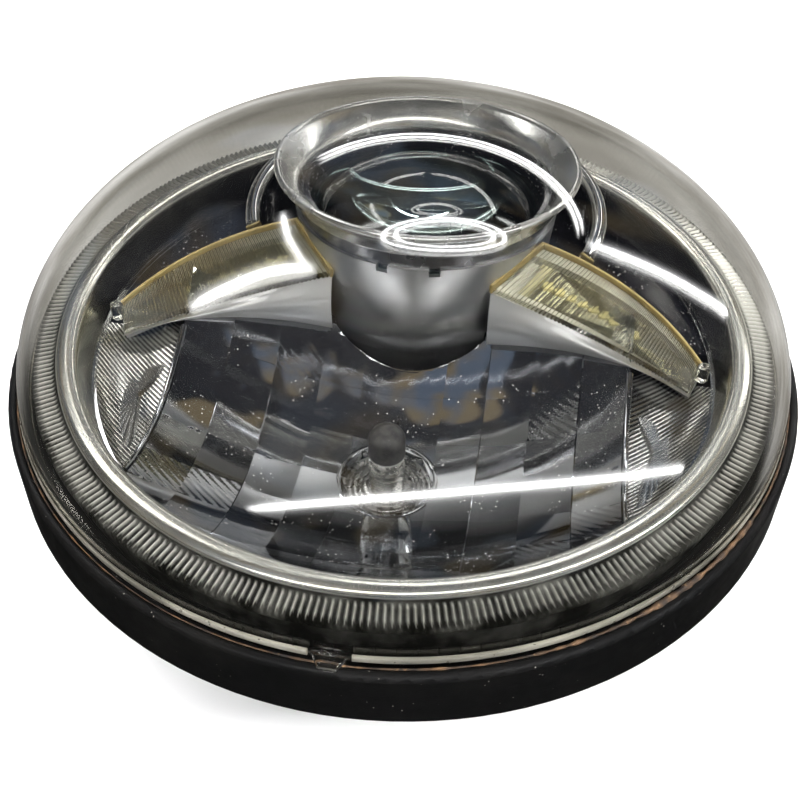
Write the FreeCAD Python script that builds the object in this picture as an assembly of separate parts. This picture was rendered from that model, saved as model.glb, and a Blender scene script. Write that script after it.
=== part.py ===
import FreeCAD, Part
import os
from math import atan2, cos, radians, sin, sqrt, tan

os.makedirs("parts", exist_ok=True)
Vec = FreeCAD.Vector

# Round motorbike headlight lying on its back, in millimetres.
# +Z looks out of the lens, +Y is the top of the lamp, the origin lies under the middle of the mounting posts.

# Fits shared by several pieces
slip = 0.3
press = 0.0
skin = 2.0
corner = 0.8

# Black rear housing
rim_radius = 108.5
rim_bottom = 68.5
rim_top = 86.0
rim_wall = 2.5
channel_width = 7.0
channel_floor = 75.0
ledge_top = 84.0
ledge_wall = 3.5
house_wall = 3.0
base_radius = 72.0
base_top = 15.0
channel_outer = rim_radius - rim_wall
channel_inner = channel_outer - channel_width
ledge_inner = channel_inner - ledge_wall

# Mounting posts with threaded inserts
post_pitch_x = 92.0
post_pitch_y = 70.0
post_radius = 7.0
insert_radius = 4.0
insert_bore = 2.5
insert_depth = 12.0

# Clear lens, set in from the rim
lens_inset = 3.5
dome_radius = rim_radius - lens_inset
dome_base = 88.3
dome_height = 55.4
lens_wall = 2.5
skirt_inset = 1.5
skirt_bottom = 77.0
sealant_top = 83.0
tab_width = 9.6
tab_tip = 4.4
tab_reach = 3.0
tab_thick = 1.7
tab_turn = -90.5
lamp_top = dome_base + dome_height

# Chrome bezel, stepped inward from the ledge of the housing: a broad round lip, then the fluted band
seat_step = 9.5
seat_width = 2.4
lip_step = 2.2
lip_width = 5.2
lip_top = 96.8
lip_round = 2.3
flute_gap = 0.5
gap_drop = 1.9
flute_drop = 2.6
flute_reach = 1.4
flute_edge = 1.8
seat_thick = 3.0
seat_inner = ledge_inner - seat_step
seat_outer = seat_inner + seat_width
lip_inner = seat_inner + lip_step
lip_outer = lip_inner + lip_width
flute_inner = lip_outer + flute_gap
flute_outer = channel_inner + flute_reach

# High-beam reflector; its facets run to shares of the bezel's inner radius
high_axis_y = -30.0
vertex_z = 61.0
focal_x = 55.0
focal_y = 30.0
facet_wall = 3.0
facet_curve = 72.0
facet_step = 0.7
column_shares = (0.14, 0.28, 0.43, 0.58, 0.73)
row_shares = (-0.977, -0.814, -0.663, -0.512, -0.349, -0.186, -0.023, 0.151)
facet_columns = [-s * seat_inner for s in reversed(column_shares)] + [s * seat_inner for s in column_shares]
facet_rows = [s * seat_inner for s in row_shares]
side_drop = 1.5
ridge_rise = 0.8
ridge_width = 2.0
hole_radius = 13.0
neck_wall = 3.0
neck_bottom = 44.0

# Low-beam unit, measured down its own axis from the middle of the funnel lip, which just clears the dome
low_axis_share = 0.523
low_tilt = 6.0
funnel_clear = 1.8
funnel_depth = 8.5
funnel_flare = 5.9
barrel_radius = 38.3
barrel_taper = 3.8
barrel_length = 31.0
barrel_wall = 1.8
groove_height = 5.0
groove_inset = 1.0
groove_wall = 1.2
glass_inset = 2.7
glass_rim = 1.6
glass_sag = 9.0
glass_edge = 3.0
flange_top = -58.0
flange_width = 6.5
flange_thick = 3.0
shield_thick = 1.2
bowl_inset = 5.5
bowl_neck = 13.0
bowl_neck_length = 5.0
low_screw_inset = 4.5
barrel_top = -funnel_depth - groove_height
funnel_radius = barrel_radius + funnel_flare
barrel_base = barrel_radius - barrel_taper
glass_radius = barrel_radius - glass_inset
glass_dome = glass_radius - glass_rim
flange_radius = barrel_base + flange_width
low_screw_pitch = flange_radius - low_screw_inset
bowl_mouth = barrel_base - bowl_inset
low_axis_y = low_axis_share * seat_inner
far_edge = low_axis_y + funnel_radius * cos(radians(low_tilt))
dome_over = dome_base + (dome_height - lens_wall) * sqrt(1 - (far_edge / (dome_radius - lens_wall)) ** 2)
low_axis_z = dome_over - funnel_clear + funnel_radius * sin(radians(low_tilt))

# Bulbs
bulb_flange = 12.5
bulb_flange_thick = 2.0
bulb_body = 9.5
bulb_body_length = 12.0
low_body_length = 9.0
capsule_radius = 5.0
capsule_length = 22.0
clip_thick = 1.2

# Daylight bars: three points along each edge of the right one, across as shares of the bezel's inner radius
bar_low = ((0.186, 0.151, 101.5), (0.593, 0.070, 92.0), (0.919, -0.070, 86.0))
bar_high = ((0.279, 0.302, 109.0), (0.674, 0.250, 98.0), (0.948, 0.0, 90.0))
bar_low_back = ((0.186, 0.151, 80.0), (0.593, 0.070, 85.5), (0.919, -0.070, 84.2))
bar_lens = 2.2
bar_edge = 0.16
bar_hollow = 3.4
board_thick = 1.2
led_size = 2.6
led_count = 9
led_gap = 8.3
led_last = 0.66
peg_radius = 1.8
peg_height = 4.0
peg_share = (0.953, -0.023)
peg_z = 87.4

# Black mask with its turret and the chrome collar
mask_top = 82.0
mask_thick = 2.0
mask_skirt = 8.0
mask_front = row_shares[-1] * seat_inner
turret_gap = 13.7
turret_radius = barrel_radius + turret_gap
turret_top = 100.0
collar_width = 3.6
collar_height = 3.4

# Rear openings and covers
low_neck = 27.0
high_neck = 24.0
neck_end = 7.0
cap_wall = 2.3
cap_bottom = 3.0
cap_lap = 4.5
tail_clear = 0.8
low_cap_y = low_axis_y - (low_axis_z - neck_end) * tan(radians(low_tilt))
grip_width = 7.0
vent_x = -46.0
vent_radius = 5.0
inlet_x = 46.0
inlet_radius = 8.0


def outline(points):
    """Closed wire in the XZ plane; a third number in a point rounds that corner."""
    edges = []
    ends = []
    total = len(points)
    for i, point in enumerate(points):
        here = Vec(point[0], 0, point[1])
        round_by = point[2] if len(point) > 2 else 0.0
        if round_by == 0.0:
            ends.append((here, here, None))
            continue
        last = points[i - 1]
        after = points[(i + 1) % total]
        back = (Vec(last[0], 0, last[1]) - here).normalize()
        ahead = (Vec(after[0], 0, after[1]) - here).normalize()
        half = back.getAngle(ahead) / 2
        reach = round_by / tan(half)
        middle = (back + ahead).normalize()
        centre = here + middle * (round_by / sin(half))
        ends.append((here + back * reach, here + ahead * reach, centre - middle * round_by))
    for i, (start, finish, bend) in enumerate(ends):
        if bend is not None:
            edges.append(Part.Arc(start, bend, finish).toShape())
        following = ends[(i + 1) % total][0]
        if finish.distanceToPoint(following) > 1e-6:
            edges.append(Part.makeLine(finish, following))
    return Part.Wire(edges)


def turned(points, x=0.0, y=0.0):
    """Solid of revolution about a line along Z."""
    solid = Part.Face(outline(points)).revolve(Vec(), Vec(0, 0, 1), 360)
    solid.translate(Vec(x, y, 0))
    return solid


def disc(radius, low, high, x=0.0, y=0.0):
    return Part.makeCylinder(radius, high - low, Vec(x, y, low))


def ring(inner, outer, low, high, x=0.0, y=0.0):
    return disc(outer, low, high, x, y).cut(disc(inner, low, high, x, y))


def block(x0, x1, y0, y1, z0, z1):
    return Part.makeBox(x1 - x0, y1 - y0, z1 - z0, Vec(x0, y0, z0))


def joined(shapes):
    return shapes[0].multiFuse(shapes[1:]).removeSplitter()


def mirrored(shape):
    return shape.mirror(Vec(), Vec(1, 0, 0))


def tilted(shape):
    """Bring a piece of the low-beam unit from its own axis into the lamp."""
    moved = shape.copy()
    moved.rotate(Vec(), Vec(1, 0, 0), -low_tilt)
    moved.translate(Vec(0, low_axis_y, low_axis_z))
    return moved


def save(shape, node):
    shape.exportStep("parts/" + node + ".step")


def around(count, radius, first=45.0):
    """Places evenly spaced on a circle."""
    turns = [radians(first + 360.0 * i / count) for i in range(count)]
    return [(radius * cos(t), radius * sin(t)) for t in turns]


# Four posts stand at the corners of a rectangle
post_places = [(sx * post_pitch_x / 2, sy * post_pitch_y / 2) for sx in (-1, 1) for sy in (-1, 1)]
cone_top = rim_radius - 3.5
cone_turn = atan2(cone_top - base_radius, rim_bottom - base_top)

# Low-beam screws run from the carrier flange down into bosses of the housing
boss_top = flange_top - flange_thick - shield_thick - flange_thick
low_screw_places = around(4, low_screw_pitch)
screw_radius = 2.0
screw_head = 3.5
screw_bite = 9.0
screw_head_height = 2.4
thread_inset = 0.7
bezel_bite = 4.0
boss_radius = 4.5

# Housing shell: rim, glue channel, cone and rear wall in one turned profile
shell = turned([
    (0, base_top - house_wall), (base_radius, base_top - house_wall, 5.0),
    (cone_top, rim_bottom - 2.0), (rim_radius, rim_bottom, corner),
    (rim_radius, rim_top, 1.5), (channel_outer, rim_top, corner), (channel_outer, channel_floor),
    (channel_inner, channel_floor), (channel_inner, ledge_top), (ledge_inner, ledge_top),
    (ledge_inner, channel_floor - house_wall),
    (cone_top - house_wall / cos(cone_turn), channel_floor - house_wall),
    (base_radius - 1.7, base_top, 4.0), (0, base_top)])
solids = [shell]
for px, py in post_places:
    solids.append(disc(post_radius, 0, base_top, px, py))
    solids.append(turned([
        (0, base_top - 1), (post_radius, base_top - 1), (post_radius - skin, base_top + 3, 1.0),
        (0, base_top + 3)], px, py))
for cap_y, radius in ((low_cap_y, low_neck), (high_axis_y, high_neck)):
    solids.append(disc(radius, neck_end, base_top, 0, cap_y))
boss_room = disc(rim_radius, base_top - 1, low_axis_z)
for px, py in low_screw_places:
    boss = tilted(disc(boss_radius, -low_axis_z, boss_top, px, py))
    solids.append(boss.common(boss_room))
solids.append(disc(vent_radius - 1.5, base_top - 9, base_top, vent_x, 0))
rear_housing = joined(solids)
for px, py in post_places:
    rear_housing = rear_housing.cut(disc(insert_radius + press, 0, insert_depth, px, py))
for cap_y, radius in ((low_cap_y, low_neck), (high_axis_y, high_neck)):
    rear_housing = rear_housing.cut(disc(radius - house_wall, 0, base_top + 1, 0, cap_y))
for px, py in low_screw_places:
    rear_housing = rear_housing.cut(tilted(disc(screw_radius, boss_top - screw_bite, boss_top + 1, px, py)))
rear_housing = rear_housing.cut(disc(vent_radius - 3.2, 0, base_top + 1, vent_x, 0))
rear_housing = rear_housing.cut(disc(inlet_radius - 2.0, 0, base_top + 1, inlet_x, 0))
save(rear_housing, "rear_housing")

insert = ring(insert_bore, insert_radius, 0, insert_depth)
inserts = [insert.translated(Vec(px, py, 0)) for px, py in post_places]
save(Part.makeCompound(inserts), "mount_inserts")

# Clear lens: half an ellipsoid on a skirt that stands in the glue channel
skirt_outer = dome_radius - skirt_inset
skirt_inner = skirt_outer - lens_wall


# The dome is drawn as three arcs that run into each other: crown, shoulder and flank
crown = dome_radius ** 2 / dome_height
flank = dome_height ** 2 / dome_radius
shoulder = sqrt(crown * flank)
crown_z = lamp_top - crown
flank_r = dome_radius - flank
gap = sqrt(flank_r ** 2 + (dome_base - crown_z) ** 2)
reach = ((crown - shoulder) ** 2 - (shoulder - flank) ** 2 + gap ** 2) / (2 * gap)
rise = sqrt((crown - shoulder) ** 2 - reach ** 2)
aim = Vec(flank_r, 0, dome_base - crown_z).normalize()
shoulder_spot = Vec(0, 0, crown_z) + aim * reach + Vec(-aim.z, 0, aim.x) * rise
centres = [Vec(0, 0, crown_z), shoulder_spot, Vec(flank_r, 0, dome_base)]
crown_aim = (centres[1] - centres[0]).normalize()
shoulder_aim = (centres[2] - centres[1]).normalize()
aims = [Vec(0, 0, 1), crown_aim, shoulder_aim, Vec(1, 0, 0)]


def dome_arcs(inset):
    """Three arcs from the apex to the foot, a given depth inside the outer face."""
    arcs = []
    for i, radius in enumerate((crown, shoulder, flank)):
        size = radius - inset
        middle = (aims[i] + aims[i + 1]).normalize()
        spots = [centres[i] + way * size for way in (aims[i], middle, aims[i + 1])]
        arcs.append(Part.Arc(*spots).toShape())
    return arcs


dome_inner = dome_radius - lens_wall
foot = [(dome_radius, dome_base), (skirt_outer, dome_base), (skirt_outer, skirt_bottom),
        (skirt_inner, skirt_bottom), (skirt_inner, dome_base), (dome_inner, dome_base)]
foot_spots = [Vec(r, 0, z) for r, z in foot]
apex = Vec(0, 0, lamp_top)
lens_edges = dome_arcs(0.0) + dome_arcs(lens_wall)
lens_edges += [Part.makeLine(a, b) for a, b in zip(foot_spots, foot_spots[1:])]
lens_edges.append(Part.makeLine(apex, apex - Vec(0, 0, lens_wall)))
lens_wire = Part.Wire(Part.sortEdges(lens_edges)[0])
shell = Part.Face(lens_wire).revolve(Vec(), Vec(0, 0, 1), 360)
tab_root = skirt_outer - 0.5
tab_line = [Vec(x, y, rim_top + slip) for x, y in (
    (-tab_width / 2, tab_root), (tab_width / 2, tab_root),
    (tab_tip / 2, dome_radius + tab_reach), (-tab_tip / 2, dome_radius + tab_reach))]
tab = Part.Face(Part.makePolygon(tab_line + tab_line[:1])).extrude(Vec(0, 0, tab_thick))
tab.rotate(Vec(), Vec(0, 0, 1), tab_turn - 90.0)
outer_lens = joined([shell, tab])
save(outer_lens, "outer_lens")

sealant = ring(channel_inner, channel_outer, channel_floor, sealant_top)
sealant = sealant.cut(ring(skirt_inner, skirt_outer, skirt_bottom, sealant_top))
save(sealant, "lens_sealant")

# Chrome bezel: inner slope, lip and fluted outer band, with four screw posts under it
band_inner = lip_top - gap_drop
band_outer = lip_top - flute_drop
bezel = turned([
    (seat_inner, ledge_top), (seat_inner, ledge_top + 1.6), (lip_inner, lip_top, lip_round),
    (lip_outer, lip_top, lip_round - 0.5), (flute_inner, band_inner), (flute_outer, band_outer, 0.6),
    (flute_outer, band_outer - flute_edge), (channel_inner - slip, band_outer - 2 * flute_edge),
    (channel_inner - slip, ledge_top), (ledge_inner, ledge_top), (ledge_inner, band_outer - skin),
    (flute_inner - 0.6, band_inner - skin), (lip_inner + skin, lip_top - skin),
    (seat_outer, ledge_top + 2.4), (seat_outer, ledge_top)])
bezel_post = 3.2
post_circle = seat_outer + bezel_post - 0.6
bezel_screw_places = around(4, post_circle)
bezel_solids = [bezel]
for px, py in bezel_screw_places:
    bezel_solids.append(disc(bezel_post, ledge_top, lip_top - 3.5, px, py).cut(
        disc(screw_radius - thread_inset, ledge_top, ledge_top + bezel_bite, px, py)))
chrome_bezel = joined(bezel_solids)
save(chrome_bezel, "chrome_bezel")

# Bodies that other pieces make room for
barrel_foot = barrel_top - barrel_length
barrel_room = tilted(turned([
    (0, flange_top), (barrel_base + slip, flange_top), (barrel_base + slip, barrel_foot),
    (barrel_radius + slip, barrel_top), (barrel_radius + slip + 1.0, -funnel_depth),
    (funnel_radius + slip, -2.0), (funnel_radius + slip, 5.0), (0, 5.0)]))


def along(points, t):
    """Point on the curve through three points, from the first at 0 to the last at 1."""
    weights = ((1 - t) * (1 - 2 * t), 4 * t * (1 - t), t * (2 * t - 1))
    x, y, z = [sum(w * p[k] for w, p in zip(weights, points)) for k in range(3)]
    return Vec(x * seat_inner, y * seat_inner, z)


stations = [i / 6.0 for i in range(7)]


def bar_layer(top, bottom, inset):
    """Slab of a daylight bar between two depths behind its front, set in from both long edges."""
    wires = []
    for t in stations:
        low = along(bar_low, t)
        high = along(bar_high, t)
        span = (high - low) * inset
        corners = [low + span, high - span]
        sunk = [Vec(p.x, p.y, p.z - bottom) for p in reversed(corners)]
        raised = [Vec(p.x, p.y, p.z - top) for p in corners]
        wires.append(Part.makePolygon(raised + sunk + raised[:1]))
    return Part.makeLoft(wires, True, True)


def bar_body(top):
    """Daylight bar from a depth behind its front down to the mask."""
    wires = []
    for t in stations:
        low = along(bar_low, t)
        high = along(bar_high, t)
        foot = along(bar_low_back, t)
        down = Vec(0, 0, top)
        corners = [low - down, high - down, Vec(high.x, high.y, mask_top), foot]
        wires.append(Part.makePolygon(corners + corners[:1]))
    return Part.makeLoft(wires, True, True)


# Daylight bars, built on the right and mirrored to the left
bar_solid = bar_body(bar_lens).cut(barrel_room)
cover = bar_layer(0.0, bar_lens, 0.0).cut(barrel_room)
peg = disc(peg_radius, peg_z, peg_z + peg_height, peg_share[0] * seat_inner, peg_share[1] * seat_inner)
cover = cover.fuse(peg).removeSplitter()
hollow = bar_layer(bar_lens, bar_lens + bar_hollow, bar_edge).cut(
    tilted(disc(barrel_radius + skin + 1.0, -low_axis_z, 5.0)))
hollow = hollow.common(bar_solid.translated(Vec(0, 0, skin)))
board = bar_layer(bar_lens + bar_hollow - board_thick, bar_lens + bar_hollow, bar_edge).common(hollow)
tray = bar_solid.cut(hollow)


def bar_middle(t):
    return (along(bar_low, t) + along(bar_high, t)) * 0.5


def from_barrel(t):
    spot = bar_middle(t)
    return sqrt(spot.x ** 2 + (spot.y - low_axis_y) ** 2)


led_first = min(i / 200.0 for i in range(100) if from_barrel(i / 200.0) > barrel_radius + led_gap)
leds = []
for i in range(led_count):
    spot = bar_middle(led_first + (led_last - led_first) * i / (led_count - 1))
    half = led_size / 2
    floor = spot.z - bar_lens - bar_hollow
    led = block(spot.x - half, spot.x + half, spot.y - half, spot.y + half, floor, floor + board_thick + 1.5)
    leds.append(max(led.cut(board).Solids, key=lambda s: s.CenterOfMass.z))
for side, place in (("right", lambda s: s), ("left", mirrored)):
    save(place(cover), "drl_lens_" + side)
    save(place(tray), "drl_tray_" + side)
    save(place(board), "drl_board_" + side)
    save(place(Part.makeCompound(leds)), "drl_leds_" + side)
tall_bar = bar_body(mask_top - lamp_top)
both_bars = bar_solid.fuse(mirrored(bar_solid))
both_tall = tall_bar.fuse(mirrored(tall_bar))

# High-beam reflector: a grid of hollow-ground facets, stepped between columns


def facet(x0, x1, y0, y1, height, slope_x, slope_y, ground):
    """One tile of the reflector; its front is hollowed by a large ball when ground is set."""
    mid_x = (x0 + x1) / 2
    mid_y = (y0 + y1) / 2
    spare = 1.4 if ground else 0.0
    spots = [(x0, y0), (x1, y0), (x1, y1), (x0, y1)]
    corners = [Vec(x, y, height + spare + slope_x * (x - mid_x) + slope_y * (y - mid_y)) for x, y in spots]
    tile = Part.Face(Part.makePolygon(corners + corners[:1])).extrude(Vec(0, 0, -facet_wall - spare))
    if ground:
        normal = Vec(-slope_x, -slope_y, 1).normalize()
        tile = tile.cut(Part.makeSphere(facet_curve, Vec(mid_x, mid_y, height) + normal * facet_curve))
    return tile


def base_height(x, y):
    return vertex_z + x * x / (4 * focal_x) + (y - high_axis_y) ** 2 / (4 * focal_y)


tiles = []
for row in range(len(facet_rows) - 1):
    y0, y1 = facet_rows[row], facet_rows[row + 1]
    mid_y = (y0 + y1) / 2
    for col in range(len(facet_columns) - 1):
        x0, x1 = facet_columns[col], facet_columns[col + 1]
        mid_x = (x0 + x1) / 2
        nearest = min(abs(x0), abs(x1)) if x0 * x1 > 0 else 0.0
        if sqrt(nearest ** 2 + min(abs(y0), abs(y1)) ** 2) > seat_inner:
            continue
        step = facet_step * (col % 2 - 0.5)
        tiles.append(facet(x0, x1, y0, y1, base_height(mid_x, mid_y) + step,
                           mid_x / (2 * focal_x), (mid_y - high_axis_y) / (2 * focal_y), True))
    edge = facet_columns[-1]
    if sqrt(edge ** 2 + min(abs(y0), abs(y1)) ** 2) < seat_inner:
        outer_x = sqrt(seat_inner ** 2 - min(mid_y ** 2, facet_columns[-2] ** 2))
        inner_z = min(base_height(edge, mid_y) - side_drop, ledge_top - 1.0)
        slope = (ledge_top - inner_z) / (outer_x - edge)
        side_z = inner_z + slope * (seat_outer - edge) / 2
        panel = facet(edge, seat_outer, y0, y1, side_z, slope, 0.0, False)
        tiles += [panel, mirrored(panel)]
edge = facet_columns[-1]
ridge_rows = [y for y in facet_rows[:-1] if -facet_columns[-1] < y]
ridge_foot = base_height(edge, high_axis_y) - side_drop - facet_wall
ridge = [Vec(edge - 1.0, y, base_height(edge, y) + ridge_rise) for y in ridge_rows]
ridge += [Vec(edge - 1.0, ridge_rows[-1], ridge_foot), Vec(edge - 1.0, ridge_rows[0], ridge_foot)]
ridge_wall = Part.Face(Part.makePolygon(ridge + ridge[:1])).extrude(Vec(ridge_width, 0, 0))
tiles += [ridge_wall, mirrored(ridge_wall)]
reflector = joined(tiles)
reflector = reflector.common(disc(seat_inner + 0.5, 0, ledge_top + 6.0))
reflector = reflector.cut(disc(rim_radius, ledge_top, lamp_top).cut(disc(seat_inner - slip, 0, lamp_top)))
seat = ring(seat_inner - 0.5, seat_outer, ledge_top - seat_thick, ledge_top)
seat_lower = seat.cut(block(-rim_radius, rim_radius, -8.0, rim_radius, 0, lamp_top))
neck = ring(hole_radius, hole_radius + neck_wall, neck_bottom, vertex_z + 1.0, 0, high_axis_y)
ears = []
for px, py in bezel_screw_places:
    ears.append(disc(bezel_post + 1.0, ledge_top - seat_thick, ledge_top, px, py))
reflector = joined([reflector, seat_lower, neck] + [e for e in ears if e.CenterOfMass.y < 0])
reflector = reflector.cut(disc(hole_radius, 0, lamp_top, 0, high_axis_y))
reflector = reflector.cut(barrel_room).cut(both_bars)
for px, py in bezel_screw_places:
    reflector = reflector.cut(disc(screw_radius, 0, ledge_top, px, py))
save(reflector, "high_beam_reflector")

# Black mask above the bars: plate, seat under the bezel, front wall and the turret round the barrel
plate = disc(seat_inner, mask_top - mask_thick, mask_top)
keep_upper = block(-rim_radius, rim_radius, mask_front, rim_radius, 0, lamp_top)
wall_half = facet_columns[-1] - 2 * skin
front_wall = block(-wall_half, wall_half, mask_front, mask_front + skin, mask_top - mask_skirt, mask_top)
turret = ring(turret_radius - skin, turret_radius, mask_top - mask_thick, turret_top, 0, low_axis_y - 1.5)
turret = turret.common(disc(seat_inner - slip, 0, lamp_top)).cut(both_tall)
seat_upper = seat.cut(block(-rim_radius, rim_radius, -rim_radius, mask_front, 0, lamp_top))
mask = joined([plate, turret, seat_upper] + [e for e in ears if e.CenterOfMass.y > 0]).common(keep_upper)
mask = joined([mask, front_wall]).cut(both_bars).cut(barrel_room)
for px, py in bezel_screw_places:
    mask = mask.cut(disc(screw_radius, 0, ledge_top, px, py))
mask = mask.cut(reflector)
mask = max(mask.Solids, key=lambda s: s.Volume)
save(mask, "black_mask")

collar_middle = turret_radius - skin / 2
collar = ring(collar_middle - collar_width / 2, collar_middle + collar_width / 2, turret_top,
              turret_top + collar_height, 0, low_axis_y - 1.5)
collar = collar.makeFillet(1.2, [e for e in collar.Edges if e.BoundBox.ZMin > turret_top + 1])
collar = collar.common(disc(seat_inner - slip, 0, lamp_top)).common(keep_upper).cut(both_tall)
save(collar, "barrel_collar")

# Low-beam unit: funnel, gasket groove, tapered barrel, glass and its holder
funnel_inner = barrel_radius - groove_inset - groove_wall
funnel = turned([
    (funnel_inner, -funnel_depth), (barrel_radius + 1.0, -funnel_depth, corner),
    (funnel_radius, -2.0, 2.0), (funnel_radius, 0, 0.6), (funnel_radius - 1.4, 0, 0.6),
    (funnel_inner, -funnel_depth + 1.0)])
save(tilted(funnel), "funnel_ring")
gasket = ring(funnel_inner, barrel_radius - groove_inset, barrel_top, -funnel_depth)
save(tilted(gasket), "barrel_gasket")
barrel = turned([
    (barrel_radius - barrel_wall, barrel_top), (barrel_radius, barrel_top), (barrel_base, barrel_foot),
    (barrel_base, barrel_foot - 12.0), (barrel_base - barrel_wall, barrel_foot - 12.0),
    (barrel_base - barrel_wall, barrel_foot)])
for angle in (-101.0, -79.0):
    notch = block(barrel_radius - 3, barrel_radius + 1, -1.6, 1.6, barrel_top - 2.2, barrel_top + 1)
    notch.rotate(Vec(), Vec(0, 0, 1), angle)
    barrel = barrel.cut(notch)
barrel = tilted(barrel).common(disc(rim_radius, mask_top - mask_skirt - 5.0, lamp_top))
foot_y = low_axis_y - (low_axis_z - mask_top) * tan(radians(low_tilt))
foot = ring(barrel_base - barrel_wall, barrel_base + 5.0, mask_top, mask_top + skin, 0, foot_y)
foot = foot.cut(block(-rim_radius, rim_radius, -rim_radius, foot_y, 0, lamp_top))
foot = foot.cut(tilted(disc(barrel_base, -low_axis_z, 5.0)))
barrel = barrel.fuse(foot).removeSplitter()
save(barrel, "barrel_shroud")

glass_top = barrel_top
glass_back = glass_top - glass_edge
glass_ball = (glass_dome ** 2 + glass_sag ** 2) / (2 * glass_sag)
bulge = Part.makeSphere(glass_ball, Vec(0, 0, glass_top + glass_sag - glass_ball))
bulge = bulge.common(disc(glass_dome, glass_top - 1.0, 0))
glass = disc(glass_radius, glass_back, glass_top).fuse(bulge)
save(tilted(glass.removeSplitter()), "projector_lens")

retainer = ring(glass_dome + slip, funnel_inner - slip, glass_top, -funnel_depth)
save(tilted(retainer), "lens_retainer")
carrier_outer = barrel_radius - barrel_wall - slip - 0.5
carrier_base = barrel_base - barrel_wall - slip
carrier = turned([
    (glass_dome - 3.0, glass_back), (carrier_outer, glass_back), (carrier_base, barrel_foot),
    (carrier_base, flange_top, 1.5), (flange_radius, flange_top), (flange_radius, flange_top - flange_thick),
    (bowl_mouth, flange_top - flange_thick), (bowl_mouth, barrel_foot)])
for px, py in low_screw_places:
    carrier = carrier.cut(disc(screw_radius, boss_top, 0, px, py))
save(tilted(carrier), "lens_carrier")
shield_top = flange_top - flange_thick
shield = disc(flange_radius, shield_top - shield_thick, shield_top)
window = disc(bowl_mouth - 4.0, shield_top - shield_thick, shield_top)
step = shield_thick + slip
lower_half = block(-bowl_mouth, bowl_mouth, -bowl_mouth, -step, -low_axis_z, 0)
lower_left = block(-bowl_mouth, 0, -bowl_mouth, step, -low_axis_z, 0)
shield = shield.cut(window.cut(lower_half).cut(lower_left))
for px, py in low_screw_places:
    shield = shield.cut(disc(screw_radius, boss_top, 0, px, py))
save(tilted(shield), "cutoff_shield")
bowl_top = shield_top - shield_thick
low_seat = (neck_end + tail_clear - low_axis_z) / cos(radians(low_tilt)) + bulb_flange_thick + low_body_length
bowl_end = low_seat + bowl_neck_length
bowl_depth = bowl_top - bowl_end
bowl_bend = (bowl_mouth * 0.87, bowl_top - bowl_depth * 0.55)
inner_curve = Part.Arc(Vec(bowl_mouth, 0, bowl_top), Vec(bowl_bend[0], 0, bowl_bend[1]),
                       Vec(bowl_neck, 0, bowl_end)).toShape()
outer_bend = Vec(bowl_bend[0] + skin, 0, bowl_bend[1] - skin / 2)
outer_curve = Part.Arc(Vec(bowl_mouth + skin, 0, bowl_top), outer_bend,
                       Vec(bowl_neck + skin, 0, bowl_end - skin)).toShape()
bowl_edges = [inner_curve, outer_curve,
              Part.makeLine(Vec(bowl_mouth, 0, bowl_top), Vec(bowl_mouth + skin, 0, bowl_top)),
              Part.makeLine(Vec(bowl_neck, 0, bowl_end), Vec(bowl_neck, 0, bowl_end - skin)),
              Part.makeLine(Vec(bowl_neck, 0, bowl_end - skin), Vec(bowl_neck + skin, 0, bowl_end - skin))]
bowl = Part.Face(Part.Wire(Part.sortEdges(bowl_edges)[0])).revolve(Vec(), Vec(0, 0, 1), 360)
bowl = bowl.fuse(ring(bowl_mouth + 0.5, flange_radius, bowl_top - flange_thick, bowl_top))
bowl = bowl.fuse(ring(bowl_neck, bowl_neck + skin, low_seat, bowl_end - 1.0)).removeSplitter()
for px, py in low_screw_places:
    bowl = bowl.cut(disc(screw_radius, boss_top, 0, px, py))
save(tilted(bowl), "projector_bowl")
low_screw = disc(screw_radius, boss_top - screw_bite, flange_top).fuse(
    disc(screw_head, flange_top, flange_top + screw_head_height))
low_screws = [tilted(low_screw.translated(Vec(px, py, 0))) for px, py in low_screw_places]
save(Part.makeCompound(low_screws), "projector_screws")

# Bezel screws hold the reflector and the mask up against the bezel
ear_bottom = ledge_top - seat_thick
bezel_screw = disc(screw_radius - thread_inset, ear_bottom, ledge_top + bezel_bite).fuse(
    disc(screw_head, ear_bottom - screw_head_height, ear_bottom))
bezel_screws = [bezel_screw.translated(Vec(px, py, 0)) for px, py in bezel_screw_places]
save(Part.makeCompound(bezel_screws), "bezel_screws")


def bulb(seat_z, tail):
    """Lamp base with its flange resting under the seat, and the glass capsule standing on it."""
    base = turned([
        (0, seat_z - bulb_flange_thick - tail), (bulb_body, seat_z - bulb_flange_thick - tail, 0.8),
        (bulb_body, seat_z - bulb_flange_thick), (bulb_flange, seat_z - bulb_flange_thick),
        (bulb_flange, seat_z),
        (bulb_body, seat_z), (bulb_body - 1.5, seat_z + 2.0), (0, seat_z + 2.0)])
    low = seat_z + 2.0
    top = low + capsule_length
    capsule = turned([(0, low), (capsule_radius, low), (capsule_radius, top, capsule_radius * 0.7), (0, top)])
    return base, capsule


def bulb_clip(seat_z, outer):
    """Flat spring ring with two ears under the lamp base."""
    level = seat_z - bulb_flange_thick
    washer = ring(bulb_body + slip, bulb_flange, level - clip_thick, level)
    ears = block(-outer, outer, -4.0, 4.0, level - clip_thick, level).cut(disc(bulb_flange - 0.5, -200, 200))
    return washer.fuse(ears).removeSplitter()


low_base, low_capsule = bulb(low_seat, low_body_length)
save(tilted(low_base), "low_bulb_base")
save(tilted(low_capsule), "low_bulb_capsule")
save(tilted(bulb_clip(low_seat, bowl_neck + skin)), "low_bulb_clip")
high_seat = vertex_z - 3.0
high_base, high_capsule = bulb(high_seat, bulb_body_length)
high_base.translate(Vec(0, high_axis_y, 0))
high_capsule.translate(Vec(0, high_axis_y, 0))
save(high_base, "high_bulb_base")
save(high_capsule, "high_bulb_capsule")
high_clip = bulb_clip(high_seat, hole_radius + press)
high_clip.translate(Vec(0, high_axis_y, 0))
save(high_clip, "high_bulb_clip")

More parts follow.
